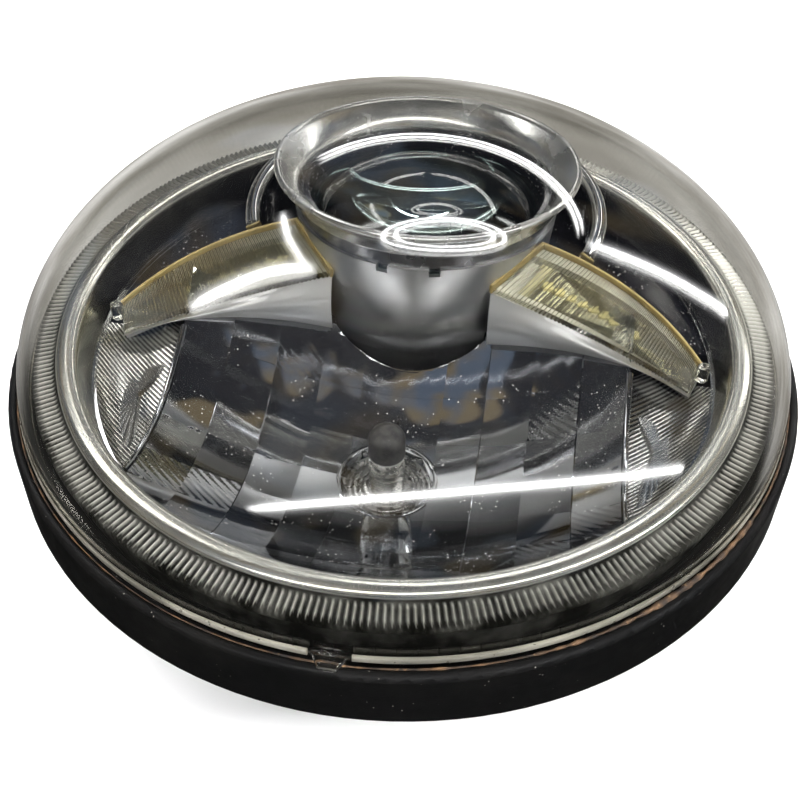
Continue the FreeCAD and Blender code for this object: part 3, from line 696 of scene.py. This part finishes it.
def squeezed_ring(radius, height, count=1400, around=10):
    """Tube of varying thickness: centre on a circle, thickness = small + waves of several
    lengths, per turn a."""
    a = np.linspace(0, 2 * np.pi, count, endpoint=False)
    f = np.linspace(0, 2 * np.pi, around, endpoint=False)[:, None]
    bumps = ((7, 0.4, 2.0), (23, 1.3, 2.5), (61, 2.2, 3.0), (149, 0.7, 3.0))
    waves = sum(np.sin(n * a + p) / w for n, p, w in bumps)
    from_thickest = np.angle(np.exp(1j * (a - np.radians(thickest_at))))
    side = np.exp(-(from_thickest / thick_spread) ** 2)
    thick = 0.12 + 0.16 * side + (0.06 + 0.30 * side) * np.clip(waves + 0.5, 0, 2)
    r = radius + thick * np.cos(f) * 1.1
    return np.stack([r * np.cos(a), r * np.sin(a), height + thick * np.sin(f)], -1)


joint = squeezed_ring(105.75, 85.9)
piece("sealant_edge", [grid(joint, ring_u=True, ring_v=True)], sealant_brown)

# %% [markdown]
# ## Fluted bezel
# The bezel is one chrome ring: a broad round lip and outside it a band of some 360 fine flutes that
# scatter light. Flutes could be an array of small bars, but on a turned surface they are only a
# wave on the height of the band's points, so the outline is turned finely and the band is lowered
# between ribs.

# %% Fluted chrome finish


def fluted_finish():
    """Satin chrome with a dull dark coat of painted shade where the mesh's number for that shade is high."""
    made = Finish("chrome_fluted", (0.88, 0.87, 0.81), 0.2, 1.0)
    coat = made.times(made.number("grime_and_shade"), made.ramp(made.noise(8.0, 4.0), (0.2, 0.8), (0.6, 1.0)))
    made.wire(made.over((0.010, 0.010, 0.008), coat, (0.88, 0.87, 0.81)), "Base Color")
    made.wire(made.over((0.7, 0.7, 0.7), coat, made.haze(0.20, 0.27)), "Roughness")
    made.orange_peel()
    return made.material


chrome_fluted = fluted_finish()

# %% Bezel
seat_inner, ledge_top, lip_top = 86.0, 84.0, 96.8
flute_in, flute_out, band_in, band_out = 93.9, 100.4, 94.9, 94.2
flutes, samples, flute_depth = 364, 6, 0.9
face = rounded([(seat_inner, ledge_top), (seat_inner, 85.6, 0.8), (88.2, lip_top, 2.5),
                (93.4, lip_top, 2.2), (flute_in, band_in)], 8, closed=False)
band_share = np.linspace(0.03, 0.97, 7)
band = np.stack([flute_in + (flute_out - flute_in) * band_share,
                 band_in + (band_out - band_in) * band_share], 1)
under = np.array([(flute_out, 93.4), (flute_out, 92.4), (98.7, 90.6), (98.7, ledge_top), (95.5, ledge_top),
                  (95.5, 92.2), (93.3, 92.9), (90.2, 94.8), (88.4, 86.4), (88.4, ledge_top)])
bezel_line = np.concatenate([face, band, under])
bezel = turned(bezel_line, flutes * samples)
wave = 0.5 - 0.5 * np.cos(np.arange(flutes * samples) * 2 * np.pi / samples)
first_row, last_row = len(face) + 1, len(face) + len(band) + 1
bezel[first_row:last_row, :, 2] -= flute_depth * wave
fluted = piece("bezel_fluted", [grid(bezel, ring_u=True, ring_v=True)], chrome_fluted,
               ["chrome_bezel"], sharp=70.0)

# %% [markdown]
# ## Painted shade in the flutes
# The flutes look crisp because a dark coat is painted between the ribs, under the band and along the band's
# inner edge: a painted shade where real flutes lie in shade. The mesh carries that as a number per point: the
# depth of the flute in the band, more towards the band's outer edge, full shade under the band and at its inner
# edge, less towards the far side. The finish lays a dark, dull coat over the chrome by that number.

# %% Painted shade in the flutes
x, y, z = spots_of(fluted)
from_axis = np.hypot(x, y)
band_floor, band_edge = 93.0, 98.0
in_band = (from_axis > flute_in + 0.1) & (from_axis < flute_out + 0.1) & (z > band_floor)
outside_band = (from_axis > band_edge) & (z <= band_floor)
in_flute = (0.5 - 0.5 * np.cos(np.arctan2(y, x) * flutes)) ** 0.7
flute_shade = 0.25 + 1.1 * in_flute + np.clip((from_axis - 98.6) / 1.5, 0, 1)
less_on_far_side = np.clip((40.0 - y) / 60.0, 0.2, 1.0)
at_foot = np.abs(from_axis - flute_in) < 0.2
# painted shade: a dark, dull coat between the ribs, under the band and at its inner edge, less on the far side
grime_and_shade = np.clip(np.where(in_band, flute_shade * less_on_far_side, 0.0) + outside_band + at_foot * less_on_far_side, 0, 1)
number_on(fluted.data, "grime_and_shade", grime_and_shade)
print("grime on", int((grime_and_shade > 0.5).sum()), "points")

# %% [markdown]
# ## Faceted high-beam reflector
# The reflector is the lamp's showpiece: a shallow bowl broken into a checker of hollow facets, each
# a patch of a large ball, set a little higher or lower column by column so that every one mirrors
# another part of the room. Each facet is a small sheet z = height of the ball over (x, y), closed
# below as a slab. Where a facet meets the bulb hole, the barrel or the bezel, its points are pushed
# to that circle, which trims it without any cutting.

# %% Reflector tools
axis_y, vertex_z, focal_x, focal_y = -30.0, 61.0, 55.0, 30.0
hole_radius, facet_ball, facet_step = 13.0, 72.0, 0.35
barrel_y, barrel_clear = 40.5, 35.2
facet_wall, seat_gap = 3.0, 0.3
facet_rib, facet_rib_pitch = 0.05, 2.4


def bowl_height(x, y):
    """Bowl with two focal lengths: z = vertex + x^2 / 4 fx + (y - axis)^2 / 4 fy."""
    return vertex_z + x ** 2 / (4 * focal_x) + (y - axis_y) ** 2 / (4 * focal_y)


def slab(points, depth):
    """Closed block under a sheet: its edge goes straight down by the depth and is drawn together
    to its middle."""
    top, faces = grid(points)
    index = np.arange(len(top)).reshape(points.shape[:2])
    rim = np.concatenate([index[0, :-1], index[:-1, -1], index[-1, :0:-1], index[:0:-1, 0]])
    low = top[rim] - np.array([0.0, 0.0, depth])
    middle = low.mean(0) + 0 * low
    lower = len(top) + np.arange(len(rim))
    centre = lower + len(rim)
    walls = [np.stack([a, b, np.roll(b, -1), np.roll(a, -1)], 1)
             for a, b in ((rim, lower), (lower, centre))]
    return np.concatenate([top, low, middle]), np.concatenate([faces, *walls])


def pushed_out(x, y, mid_x, mid_y, radius, aim):
    """Points nearer to (mid_x, mid_y) than the radius go straight out to the circle, towards aim
    at its centre."""
    dx, dy = x - mid_x, y - mid_y
    near = np.hypot(dx, dy)
    dx, dy = np.where(near < 1e-6, aim[0], dx), np.where(near < 1e-6, aim[1], dy)
    grow = np.maximum(1.0, radius / np.hypot(dx, dy))
    return mid_x + dx * grow, mid_y + dy * grow


def facet_sheet(x0, x1, y0, y1, mid_x, step, ribs, count=21):
    """Patch of a ball that touches the bowl at the facet's middle; ribs add a fine wave across
    it."""
    x, y = np.meshgrid(np.linspace(x0, x1, count), np.linspace(y0, y1, count))
    mid_y = (y0 + y1) / 2
    x, y = pushed_out(x, y, 0.0, axis_y, hole_radius, ((x0 + x1) / 2, mid_y - axis_y))
    x, y = pushed_out(x, y, 0.0, barrel_y, barrel_clear, (0.0, -1.0))
    shrink = np.minimum(1.0, (seat_inner - seat_gap) / np.hypot(x, y))
    x, y = x * shrink, y * shrink
    height = bowl_height(mid_x, mid_y) + step
    normal = np.array([-mid_x / (2 * focal_x), -(mid_y - axis_y) / (2 * focal_y), 1.0])
    centre = np.array([mid_x, mid_y, height]) + normal / np.linalg.norm(normal) * facet_ball
    z = centre[2] - np.sqrt(facet_ball ** 2 - (x - centre[0]) ** 2 - (y - centre[1]) ** 2)
    wave = np.sin((x * 0.8 + y) * 2 * np.pi / facet_rib_pitch)
    return np.stack([x, y, z + ribs * facet_rib * wave], -1)


print("bowl rises from", vertex_z, "to", round(bowl_height(seat_inner, axis_y), 1), "mm at the bezel")

# %% Reflector
ribbed_facets = ((5, 8), (2, 0), (2, 1), (1, 8), (2, 9), (6, 2))
columns = (-63.0, -50.0, -37.0, -24.0, -12.0, 0.0, 12.0, 24.0, 37.0, 50.0, 63.0)
rows = (-84.0, -70.0, -57.0, -44.0, -30.0, -16.0, -2.0, 13.0)
parts = []
for r, (y0, y1) in enumerate(zip(rows, rows[1:])):
    for c, (x0, x1) in enumerate(zip(columns, columns[1:])):
        if np.hypot(min(abs(x0), abs(x1)), min(abs(y0), abs(y1))) > seat_inner - 1.0:
            continue
        mid_x = 0.0 if abs(x0 + x1) <= 12.0 else (x0 + x1) / 2
        step = facet_step * (1 if (c - (c > 4)) % 2 else -1)
        sheet = facet_sheet(x0, x1, y0, y1, mid_x, step, (r, c) in ribbed_facets)
        parts.append(slab(sheet, facet_wall))
neck = rounded([(hole_radius, 44.0, 0.5), (14.6, 44.0, 0.5), (14.6, 61.4, 0.3), (14.2, 62.3, 0.4),
                (hole_radius, 62.4, 0.5)], 6)
parts.append(grid(turned(neck, 96, (0.0, axis_y)), ring_u=True, ring_v=True))
seat = np.array([(85.2, 81.0), (88.4, 81.0), (88.4, 83.9), (85.2, 83.9)])
parts.append(grid(turned(seat, 180), ring_u=True, ring_v=True))
print(len(parts), "parts of the reflector so far")

# %% [markdown]
# ## Ribbed side panels of the reflector
# Left and right of the facets the bowl rises to the bezel as a panel with very fine slanted ribs,
# like corduroy. The rib is a sine across the slope with a pitch under a millimetre; the panel ends
# on the bezel's circle.

# %% Ribbed chrome finish


def ribbed_finish():
    """Chrome with a painted shade in the valleys between the ribs: darker there by the mesh's own number
    valley."""
    made = Finish("reflector_ribbed", (0.80, 0.80, 0.78), 0.1, 1.0)
    valley_shade = made.times(made.number("valley"), made.ramp(made.noise(9.0, 4.0), (0.3, 0.75), (0.7, 1.0)))
    # painted shade: the plating is painted dark in the valleys between the ribs
    made.wire(made.over((0.07, 0.07, 0.068), valley_shade, (0.82, 0.82, 0.79)), "Base Color")
    made.wire(made.haze(0.12, 0.22, 12.0), "Roughness")
    made.orange_peel()
    return made.material


chrome_ribbed = ribbed_finish()

# %% Side panels
panel_x, panel_drop, panel_sag, rib_pitch, rib_height = 63.0, 1.5, 1.0, 1.15, 0.035
panel_from, panel_to = -58.0, -1.0
rib_way = np.array([0.78, 0.62])


def side_panel(sign, per_rib=8, count_along=28):
    """Every rib is a straight line from the facets' edge to the bezel's circle, or to the bar's
    foot if that is nearer; the height is a slope with a sag, plus a sine from line to line."""
    ribs = int((panel_to - panel_from) * rib_way[0] / rib_pitch)
    y = np.linspace(panel_from, panel_to, ribs * per_rib)[:, None]
    b = panel_x * rib_way[0] + y * rib_way[1]
    to_circle = -b + np.sqrt(b ** 2 - panel_x ** 2 - y ** 2 + (seat_inner - seat_gap) ** 2)
    to_bar = np.maximum(7.5 - y / 0.93, 3.0)
    t = np.linspace(0, 1, count_along) * np.minimum(to_circle, to_bar)
    share = t / np.maximum(to_circle, 0.01)
    inner_z = np.minimum(bowl_height(panel_x, y) - panel_drop, ledge_top - 1.0)
    sag = panel_sag * np.sin(np.pi * share) * np.minimum(1.0, to_circle / 20.0)
    z = inner_z + (ledge_top - inner_z) * share ** 1.3 - sag
    z = z + rib_height * np.sin(y * rib_way[0] * 2 * np.pi / rib_pitch)
    return np.stack([sign * (panel_x + t * rib_way[0]), y + t * rib_way[1], z], -1)


ridge_y = np.linspace(panel_from + 1.0, panel_to - 1.0, 60)[:, None]
ridge_f = np.linspace(0, np.pi, 9)
ridge_rise, ridge_half, ridge_depth = 0.8, 0.9, 6.0
ridge_z = bowl_height(panel_x, ridge_y) + ridge_rise * np.sin(ridge_f)
ridge_x = panel_x + ridge_half * np.cos(ridge_f) + 0 * ridge_y
for sign in (-1, 1):
    parts.append(slab(np.stack([sign * ridge_x, ridge_y + 0 * ridge_z, ridge_z], -1), ridge_depth))
piece("reflector_facets", parts, mirror, ["high_beam_reflector"], sharp=25.0)
panels = piece("reflector_panels", [slab(side_panel(sign), facet_wall) for sign in (-1, 1)],
               chrome_ribbed, sharp=40.0)

# %% [markdown]
# ## Ribs that stay crisp
# Ribs this fine would blur from a little way off, so a shade is painted between them: the finish paints the
# plating dark in each valley. So each point carries a number, valley, from 0 on a crest to 1 between two ribs,
# for the finish.

# %% Valleys between the ribs
x, y, z = spots_of(panels)
rib_line = y * rib_way[0] - (np.abs(x) - panel_x) * rib_way[1]
valley = 0.5 - 0.5 * np.sin(rib_line * 2 * np.pi / rib_pitch)
number_on(panels.data, "valley", valley)
print("panels with ribs every", rib_pitch, "mm")

# %% [markdown]
# ## Daylight bars
# Each bar is a slim cover of pale acrylic with fine cross flutes on its inner face, amber where it
# is seen edge-on, over a chrome tray that sweeps down to the reflector. Both follow two curves in
# space, the lower and the upper edge, each a parabola through three points; a section is carried
# from one end to the other between them.

# %% Bar curves
bar_low = np.array([(16.0, 13.0, 101.5), (51.0, 6.0, 92.0), (79.0, -6.0, 86.0)])
bar_high = np.array([(24.0, 26.0, 109.0), (58.0, 21.5, 98.0), (81.5, 0.0, 90.0)])
bar_foot = np.array([(16.0, 10.8, 78.6), (51.0, 4.6, 85.0), (79.0, -6.4, 84.2)])
start_low, start_high, mask_top = 0.085, 0.15, 82.0
cover_wall, hollow_depth, bar_edge = 2.2, 3.4, 0.16


def curve(points, t):
    """Parabola through three points, reached at t = 0, one half and 1."""
    t = np.asarray(t)[..., None]
    return (1 - t) * (1 - 2 * t) * points[0] + 4 * t * (1 - t) * points[1] + t * (2 * t - 1) * points[2]


def bar_edges(count):
    """Lower edge, upper edge and foot of a bar at evenly spaced stations, starting outside the
    barrel."""
    s = np.linspace(0, 1, count)
    low_t, high_t = start_low + (1 - start_low) * s, start_high + (1 - start_high) * s
    return curve(bar_low, low_t), curve(bar_high, high_t), curve(bar_foot, low_t)


def both_sides(points):
    """A right-hand shape and its mirror image."""
    return [points, points * np.array([-1.0, 1.0, 1.0])]


up = np.array([0.0, 0.0, 1.0])
print("bars start at", np.round(curve(bar_low, start_low), 1), np.round(curve(bar_high, start_high), 1))

# %% [markdown]
# ## Covers, prisms and amber edges
# The cover is a thin crowned strip with cross flutes moulded into its underside and a peg at its
# outer end. Behind it lies a row of small prisms that spread the diodes' light; they are a zigzag
# that leans a little from tooth to tooth. The amber line is the cover's thick edge, where light
# runs through much more of the tinted acrylic.

# %% Bar covers
cross_flutes, per_flute = 56, 8
cover_crown, ripple_depth, ripple_room = 0.7, 0.3, 0.35
low, high = bar_edges(cross_flutes * per_flute)[:2]
q = np.linspace(0, 1, 9)[None, :, None]
top = low[:, None] * (1 - q) + high[:, None] * q + up * (cover_crown * 4 * q * (1 - q))
ripple = ripple_depth * np.cos(np.arange(len(low)) * 2 * np.pi / per_flute)[:, None, None]
bottom = low[:, None] * (1 - q) + high[:, None] * q - up * (cover_wall - ripple_room + ripple)
cover = closed_ends(np.concatenate([top, bottom[:, ::-1]], 1))
peg = rounded([(0.0, 91.6), (1.8, 91.6, 1.2), (1.8, 86.5, 0.3), (0.0, 86.5)], 6, closed=False)
peg = turned(peg, 40, (82.0, -2.0))
for side, shape, pin in zip(("right", "left"), both_sides(cover), both_sides(peg)):
    parts = [grid(shape, ring_v=True), grid(pin, ring_v=True)]
    piece("bar_cover_" + side, parts, bar_clear, ["drl_lens_" + side], sharp=50.0)

# %% Prism rows behind the covers
teeth, per_tooth = 42, 6
prism_tall, prism_lean, prism_lift = 1.2, 0.45, 1.3
low, high = bar_edges(teeth * per_tooth)[:2]
keep = slice(5 * per_tooth, None)
ramp = np.abs(np.arange(teeth * per_tooth) % per_tooth - per_tooth / 2) / (per_tooth / 2)
lean = (np.sin(np.arange(teeth * per_tooth) // per_tooth * 2.4) * prism_lean)[:, None, None]
q = np.linspace(0.2, 0.8, 5)[None, :, None]
rise = (prism_tall * ramp)[:, None, None] + lean
sunk = cover_wall + hollow_depth - prism_lift - rise
prisms = (low[:, None] * (1 - q) + high[:, None] * q - up * sunk)[keep]
for side, sheet in zip(("right", "left"), both_sides(prisms)):
    piece("bar_prisms_" + side, [slab(sheet, 0.4)], prism_pale, sharp=20.0)

# %% Amber edges


def strip_along(path, width, tall, sides=12):
    """Rounded bar carried along a path: its section is a soft rectangle in the level direction
    across and upward."""
    f = np.linspace(0, 2 * np.pi, sides * 2, endpoint=False)
    across = np.gradient(path, axis=0)[:, :2]
    across = np.stack([-across[:, 1], across[:, 0], 0 * across[:, 0]], 1)
    across = across / np.linalg.norm(across, axis=1, keepdims=True)
    c = np.sign(np.cos(f)) * np.abs(np.cos(f)) ** 0.4 * width / 2
    h = np.sign(np.sin(f)) * np.abs(np.sin(f)) ** 0.4 * tall / 2
    return closed_ends(path[:, None] + across[:, None] * c[None, :, None] + up * h[None, :, None])


edge_drop = 0.9
low, high = bar_edges(90)[:2]
end_line = low[0] * (1 - np.linspace(0, 1, 20)[:, None]) + high[0] * np.linspace(0, 1, 20)[:, None]
upper_edge = strip_along(high - up * edge_drop, 0.9, 2.6)
inner_end = strip_along(end_line - up * edge_drop, 1.1, 2.8)
for side, upper, end in zip(("right", "left"), both_sides(upper_edge), both_sides(inner_end)):
    parts = [grid(upper, ring_v=True), grid(end, ring_v=True)]
    piece("bar_amber_" + side, parts, bar_amber, sharp=50.0)

# %% [markdown]
# ## Trays of the bars
# The tray holds board and cover and sweeps from the cover's lower edge down to the facets. Its
# section has a lip, a hollow and a bulging front; carried along the bar it gives the whole moulding
# in one grid.

# %% Bar trays
low, high, foot_line = bar_edges(100)
sweep = np.linspace(0, 1, 12)[None, :, None]
skirt_start = low - up * cover_wall
outward = np.array([0.0, -1.0, 0.35])
bulge = outward * (1.6 * np.sin(np.pi * sweep) ** 1.5)
skirt = skirt_start[:, None] * (1 - sweep) + foot_line[:, None] * sweep + bulge
span = (high - low) * bar_edge
lip_low, lip_high = low + span - up * cover_wall, high - span - up * cover_wall
back_foot = np.stack([high[:, 0], high[:, 1], 0 * high[:, 0] + mask_top], 1)
rest = np.stack([back_foot, high - up * cover_wall, lip_high, lip_high - up * hollow_depth,
                 lip_low - up * hollow_depth, lip_low], 1)
tray = closed_ends(np.concatenate([skirt, rest], 1))
for side, shape in zip(("right", "left"), both_sides(tray)):
    piece("bar_tray_" + side, [grid(shape, ring_v=True)], tray_satin, ["drl_tray_" + side],
          sharp=40.0)

# %% [markdown]
# ## Funnel round the low-beam lens
# The funnel is spun chrome: a rolled lip, a trumpet-shaped inner wall and a neck that sits on the
# barrel. The whole low-beam unit leans back by six degrees, so the outline is turned about the
# unit's own axis and the grid is then leaned and carried to its place.

# %% Funnel
low_axis_y, low_axis_z, low_tilt = 44.98, 117.42, np.radians(6.0)


def leaned(points):
    """From the low-beam unit's own axis into the lamp: a turn about X, then a shift."""
    x, y, z = points[..., 0], points[..., 1], points[..., 2]
    return np.stack([x, y * np.cos(low_tilt) + z * np.sin(low_tilt) + low_axis_y,
                     z * np.cos(low_tilt) - y * np.sin(low_tilt) + low_axis_z], -1)


funnel_neck, funnel_flare, funnel_foot, funnel_rise = 36.2, 6.3, -8.4, 7.4
lip_middle, lip_radius = 43.1, 1.1
w = np.linspace(0, 1, 24)
trumpet = np.stack([funnel_neck + funnel_flare * w ** 1.7, funnel_foot + funnel_rise * w ** 0.8], 1)
f = np.linspace(np.radians(160.0), np.radians(-60.0), 14)
lip = np.stack([lip_middle + lip_radius * np.cos(f), lip_radius * np.sin(f) - lip_radius], 1)
outside = np.stack([43.4 - 4.2 * w ** 0.7, -2.3 - 6.0 * w], 1)
funnel = leaned(turned(np.concatenate([trumpet, lip, outside, [(39.2, -8.5), (funnel_neck, -8.5)]]), 224))
piece("funnel_spun", [grid(funnel, ring_u=True, ring_v=True)], soft_chrome, ["funnel_ring"],
      sharp=50.0)

# %% [markdown]
# ## Base of the high-beam bulb
# Through the hole of the reflector the bulb's pressed base shows as a set of bright rings. An
# outline that steps up in small rolls, turned once, gives them.

# %% Bulb base
base_line = rounded([(0.0, 44.0), (9.5, 44.0, 0.8), (9.5, 56.0), (12.8, 56.0, 0.4), (12.8, 59.4, 0.8),
                     (11.3, 59.6, 0.5), (10.9, 58.7, 0.3), (9.9, 58.8, 0.3), (9.5, 59.8, 0.4), (8.4, 60.0, 0.4),
                     (8.0, 59.1, 0.3), (7.2, 59.2, 0.3), (6.9, 60.4, 0.5), (5.6, 60.6, 0.3), (0.0, 60.6)],
                    5, closed=False)
base_rings = turned(base_line, 120, (0.0, axis_y))
piece("bulb_base_rings", [grid(base_rings, ring_v=True)], bulb_metal, ["high_bulb_base"],
      sharp=50.0)

# %% [markdown]
# ## Collar tubes
# Left and right of the barrel a bright tube arcs round it like a horseshoe. A tube is a circle
# carried round a larger circle, so a part turn of a round section does it.

# %% Collar
collar_radius, collar_tube, collar_level, collar_y = 51.0, 2.3, 101.7, 43.5
f = np.linspace(0, 2 * np.pi, 24, endpoint=False)
tube = np.stack([collar_radius + collar_tube * np.cos(f), collar_level + collar_tube * np.sin(f)], 1)
arcs = [turned(tube, 70, (0.0, collar_y), first, last)
        for first, last in ((-20.0, 39.0), (141.0, 200.0))]
piece("collar_tubes", [grid(arc, ring_u=True) for arc in arcs], chrome, ["barrel_collar"],
      sharp=60.0)

# %% [markdown]
# ## Floor
# A pale floor that rises into a wall behind, as in a photographer's sweep, so that no edge shows
# from any side. It is one outline turned round, kept out of mirrors and glass so that the chrome
# shows the room instead.

# %% Floor
floor_finish = Finish("floor_pale", (0.86, 0.86, 0.85), 0.8)
faint = floor_finish.noise(160.0, 3.0)
floor_finish.wire(floor_finish.ramp(faint, (0.3, 0.84), (0.7, 0.88)), "Base Color")
sweep = rounded([(0.0, 0.0), (4600.0, 0.0, 1200.0), (4600.0, 4000.0)], 24, closed=False)
points, faces = grid(turned(sweep, 128), ring_v=True)
floor = mesh_of("floor", points, faces, floor_finish.material)
floor.visible_glossy = False
floor.visible_transmission = False
floor.visible_shadow = False
print("floor sweep of", len(faces), "faces")

# %% [markdown]
# ## Room
# Chrome shows its surroundings, so the room matters as much as the metal: dark above, a pale blotched
# wall low down at the far side, darkness low down in front, and soft warm and cool windows high up
# that the facets break into pieces.

# %% Room
world = bpy.data.worlds.new("room")
bpy.context.scene.world = world
world.use_nodes = True
room = Graph(world.node_tree, "Generated")
heading = room.add("ShaderNodeSeparateXYZ", Vector=room.place).outputs
low_down = room.share(heading["Z"], -0.04, -0.30)
high_up = room.share(heading["Z"], 0.02, 0.10)
in_front = room.share(heading["Y"], 0.72, 0.40)
walls = ((0.30, (0.30, 0.285, 0.25)), (0.44, (0.11, 0.107, 0.10)), (0.56, (0.055, 0.055, 0.055)),
         (0.72, (0.020, 0.022, 0.028)), (0.97, (0.05, 0.05, 0.055)))
window_size, hue_size, blot_size = 1000.0 / 2.2, 1000.0 / 3.1, 1000.0 / 5.0
windows = room.times(room.share(room.noise(window_size, 1.0), 0.54, 0.58), high_up)
cool = room.share(room.noise(hue_size), 0.42, 0.58)
window = room.over((0.17, 0.21, 0.28), cool, (0.30, 0.24, 0.15))
pale = room.share(room.noise(blot_size), 0.35, 0.65)
far_wall = room.over((1.0, 0.99, 0.96), pale, (0.42, 0.40, 0.36))
lit = room.over(far_wall, low_down, room.ramp(room.share(heading["Z"], -1.0, 1.0), *walls))
lit = room.over((0.03, 0.03, 0.028), room.times(low_down, in_front), lit)
room.feed(room.tree.nodes["Background"].inputs["Color"], room.over(window, windows, lit))
print("room of", len(room.tree.nodes), "nodes")

# %% [markdown]
# ## Lights
# The white lines on the dome are mirror images of long ceiling lamps, so each lamp follows the line
# that it must draw. A plain area light has hard ends and edges; a thin ribbon whose glow fades from
# its middle line to its edges and ends looks like a real tube. A ribbon only adds light, so two of
# them may cross. One wide soft light brightens the floor and is kept out of mirrors.

# %% Light ribbons
usual_distance = 1.7


def glow_finish():
    """Adds the mesh's own number glow as light to whatever is behind."""
    made = Finish("lamp_glow", (0.0, 0.0, 0.0), 1.0)
    shine = made.add("ShaderNodeEmission", Strength=made.number("glow"))
    both = made.tree.nodes.new("ShaderNodeAddShader")
    made.feed(both.inputs[0], shine.outputs["Emission"])
    made.feed(both.inputs[1], made.add("ShaderNodeBsdfTransparent").outputs["BSDF"])
    made.feed(made.tree.nodes["Material Output"].inputs["Surface"], both.outputs["Shader"])
    return made.material


def bent_line(spots, count=60, blend=9):
    """Line through a few points, evenly spaced, its corners rounded by a running mean."""
    spots = np.array(spots, float)
    walked = np.concatenate([[0.0], np.cumsum(np.linalg.norm(np.diff(spots, axis=0), axis=1))])
    even = np.linspace(0, walked[-1], count)
    line = np.stack([np.interp(even, walked, c) for c in spots.T], 1)
    padded = np.pad(line, ((blend // 2,) * 2, (0, 0)), mode="reflect", reflect_type="odd")
    return np.stack([np.convolve(c, np.full(blend, 1 / blend), mode="valid") for c in padded.T], 1)


def ribbon_light(name, path, width, core, halo, fade=0.06):
    """Ribbon along a path, facing the lamp: glow = core exp(-(v / 0.19)^2) + halo exp(-(v /
    0.5)^2) over its half width v, less at its ends; it grows wider with its distance."""
    side = np.cross(np.gradient(path, axis=0), path)
    far = np.linalg.norm(path, axis=1, keepdims=True) / usual_distance
    side = side / np.linalg.norm(side, axis=1, keepdims=True) * far * width / 2
    v = np.linspace(-1, 1, 13)
    points, faces = grid(path[:, None] + side[:, None] * v[None, :, None])
    ends = np.linspace(0, 1, len(path))[:, None]
    ends = np.clip(np.minimum(ends, 1 - ends) / fade, 0, 1) if fade else 1.0 + 0 * ends
    glow = ends * (core * np.exp(-(v / 0.19) ** 2) + halo * np.exp(-(v / 0.5) ** 2)) * (1 - v ** 4)
    band = mesh_of(name, points / MM, faces, lamp_glow)
    number_on(band.data, "glow", glow)
    band.visible_camera = False
    print("light", name, len(faces), "faces")


lamp_glow = glow_finish()

# %% Ceiling lamps
ceiling = 1.5


def at_ceiling(*spots):
    """Bent line through points of the ceiling."""
    return bent_line([(x, y, ceiling) for x, y in spots])


left_line = at_ceiling((-1.33, 0.597), (-1.07, 0.679), (-0.80, 0.763), (-0.65, 0.775), (-0.50, 0.747))
cross_line = at_ceiling((-0.87, 1.448), (-0.74, 1.094), (-0.60, 0.834), (-0.52, 0.757))
right_line = at_ceiling((0.81, 1.55), (1.02, 1.612), (1.34, 1.78), (1.81, 2.05), (2.65, 2.61), (4.8, 4.26))
near_line = at_ceiling((-1.24, -1.592), (-0.58, -1.239), (-0.20, -1.072), (0.39, -0.863), (1.06, -0.706),
                       (2.52, -0.475), (4.8, -0.10))
ribbon_light("strip_left", left_line, 0.26, 55.0, 9.0, 0.2)
ribbon_light("strip_left_cross", cross_line, 0.11, 26.0, 4.0, 0.2)
ribbon_light("strip_right", right_line, 0.20, 60.0, 6.0)
ribbon_light("strip_near", near_line, 0.27, 60.0, 7.0)

# %% Small lamps above the low beam


def towards(azimuth, elevation, far):
    """Point seen from the lamp at an azimuth a from its top and an elevation e, at a distance:
    (cos e sin a, cos e cos a, sin e) times that distance."""
    a, e = np.radians(azimuth), np.radians(elevation)
    return far * np.stack([np.cos(e) * np.sin(a), np.cos(e) * np.cos(a), np.sin(e)], -1)


azimuth = np.linspace(-21.0, 26.0, 40)
for name, sink in (("arch_light_upper", 0.0), ("arch_light_lower", 1.3)):
    ribbon_light(name, towards(azimuth, 26.6 - sink + 0.017 * (azimuth + 3.0) ** 2, 1.8), 0.05, 40.0, 3.0)
f = np.linspace(0, 2 * np.pi, 80)
for name, size in (("oval_light_inner", 0.8), ("oval_light_outer", 1.0)):
    long, short = 0.30 * size * np.cos(f), 0.165 * size * np.sin(f)
    oval = np.stack([0.035 + 0.93 * long - 0.37 * short, 1.13 + 0.37 * long + 0.93 * short,
                     ceiling + 0 * f], 1)
    ribbon_light(name, oval, 0.06, 40.0, 5.0, 0.0)

# %% Soft light
soft_data = bpy.data.lights.new("soft_key", "AREA")
soft_data.size = 2.4
soft_data.energy = 85.0
soft = bpy.data.objects.new("soft_key", soft_data)
soft.location = (0.0, -0.3, 2.0)
soft.visible_glossy = False
soft.visible_transmission = False
bpy.context.scene.collection.objects.link(soft)
bpy.context.scene.view_settings.view_transform = "Standard"
print("soft light of", soft_data.energy, "W")
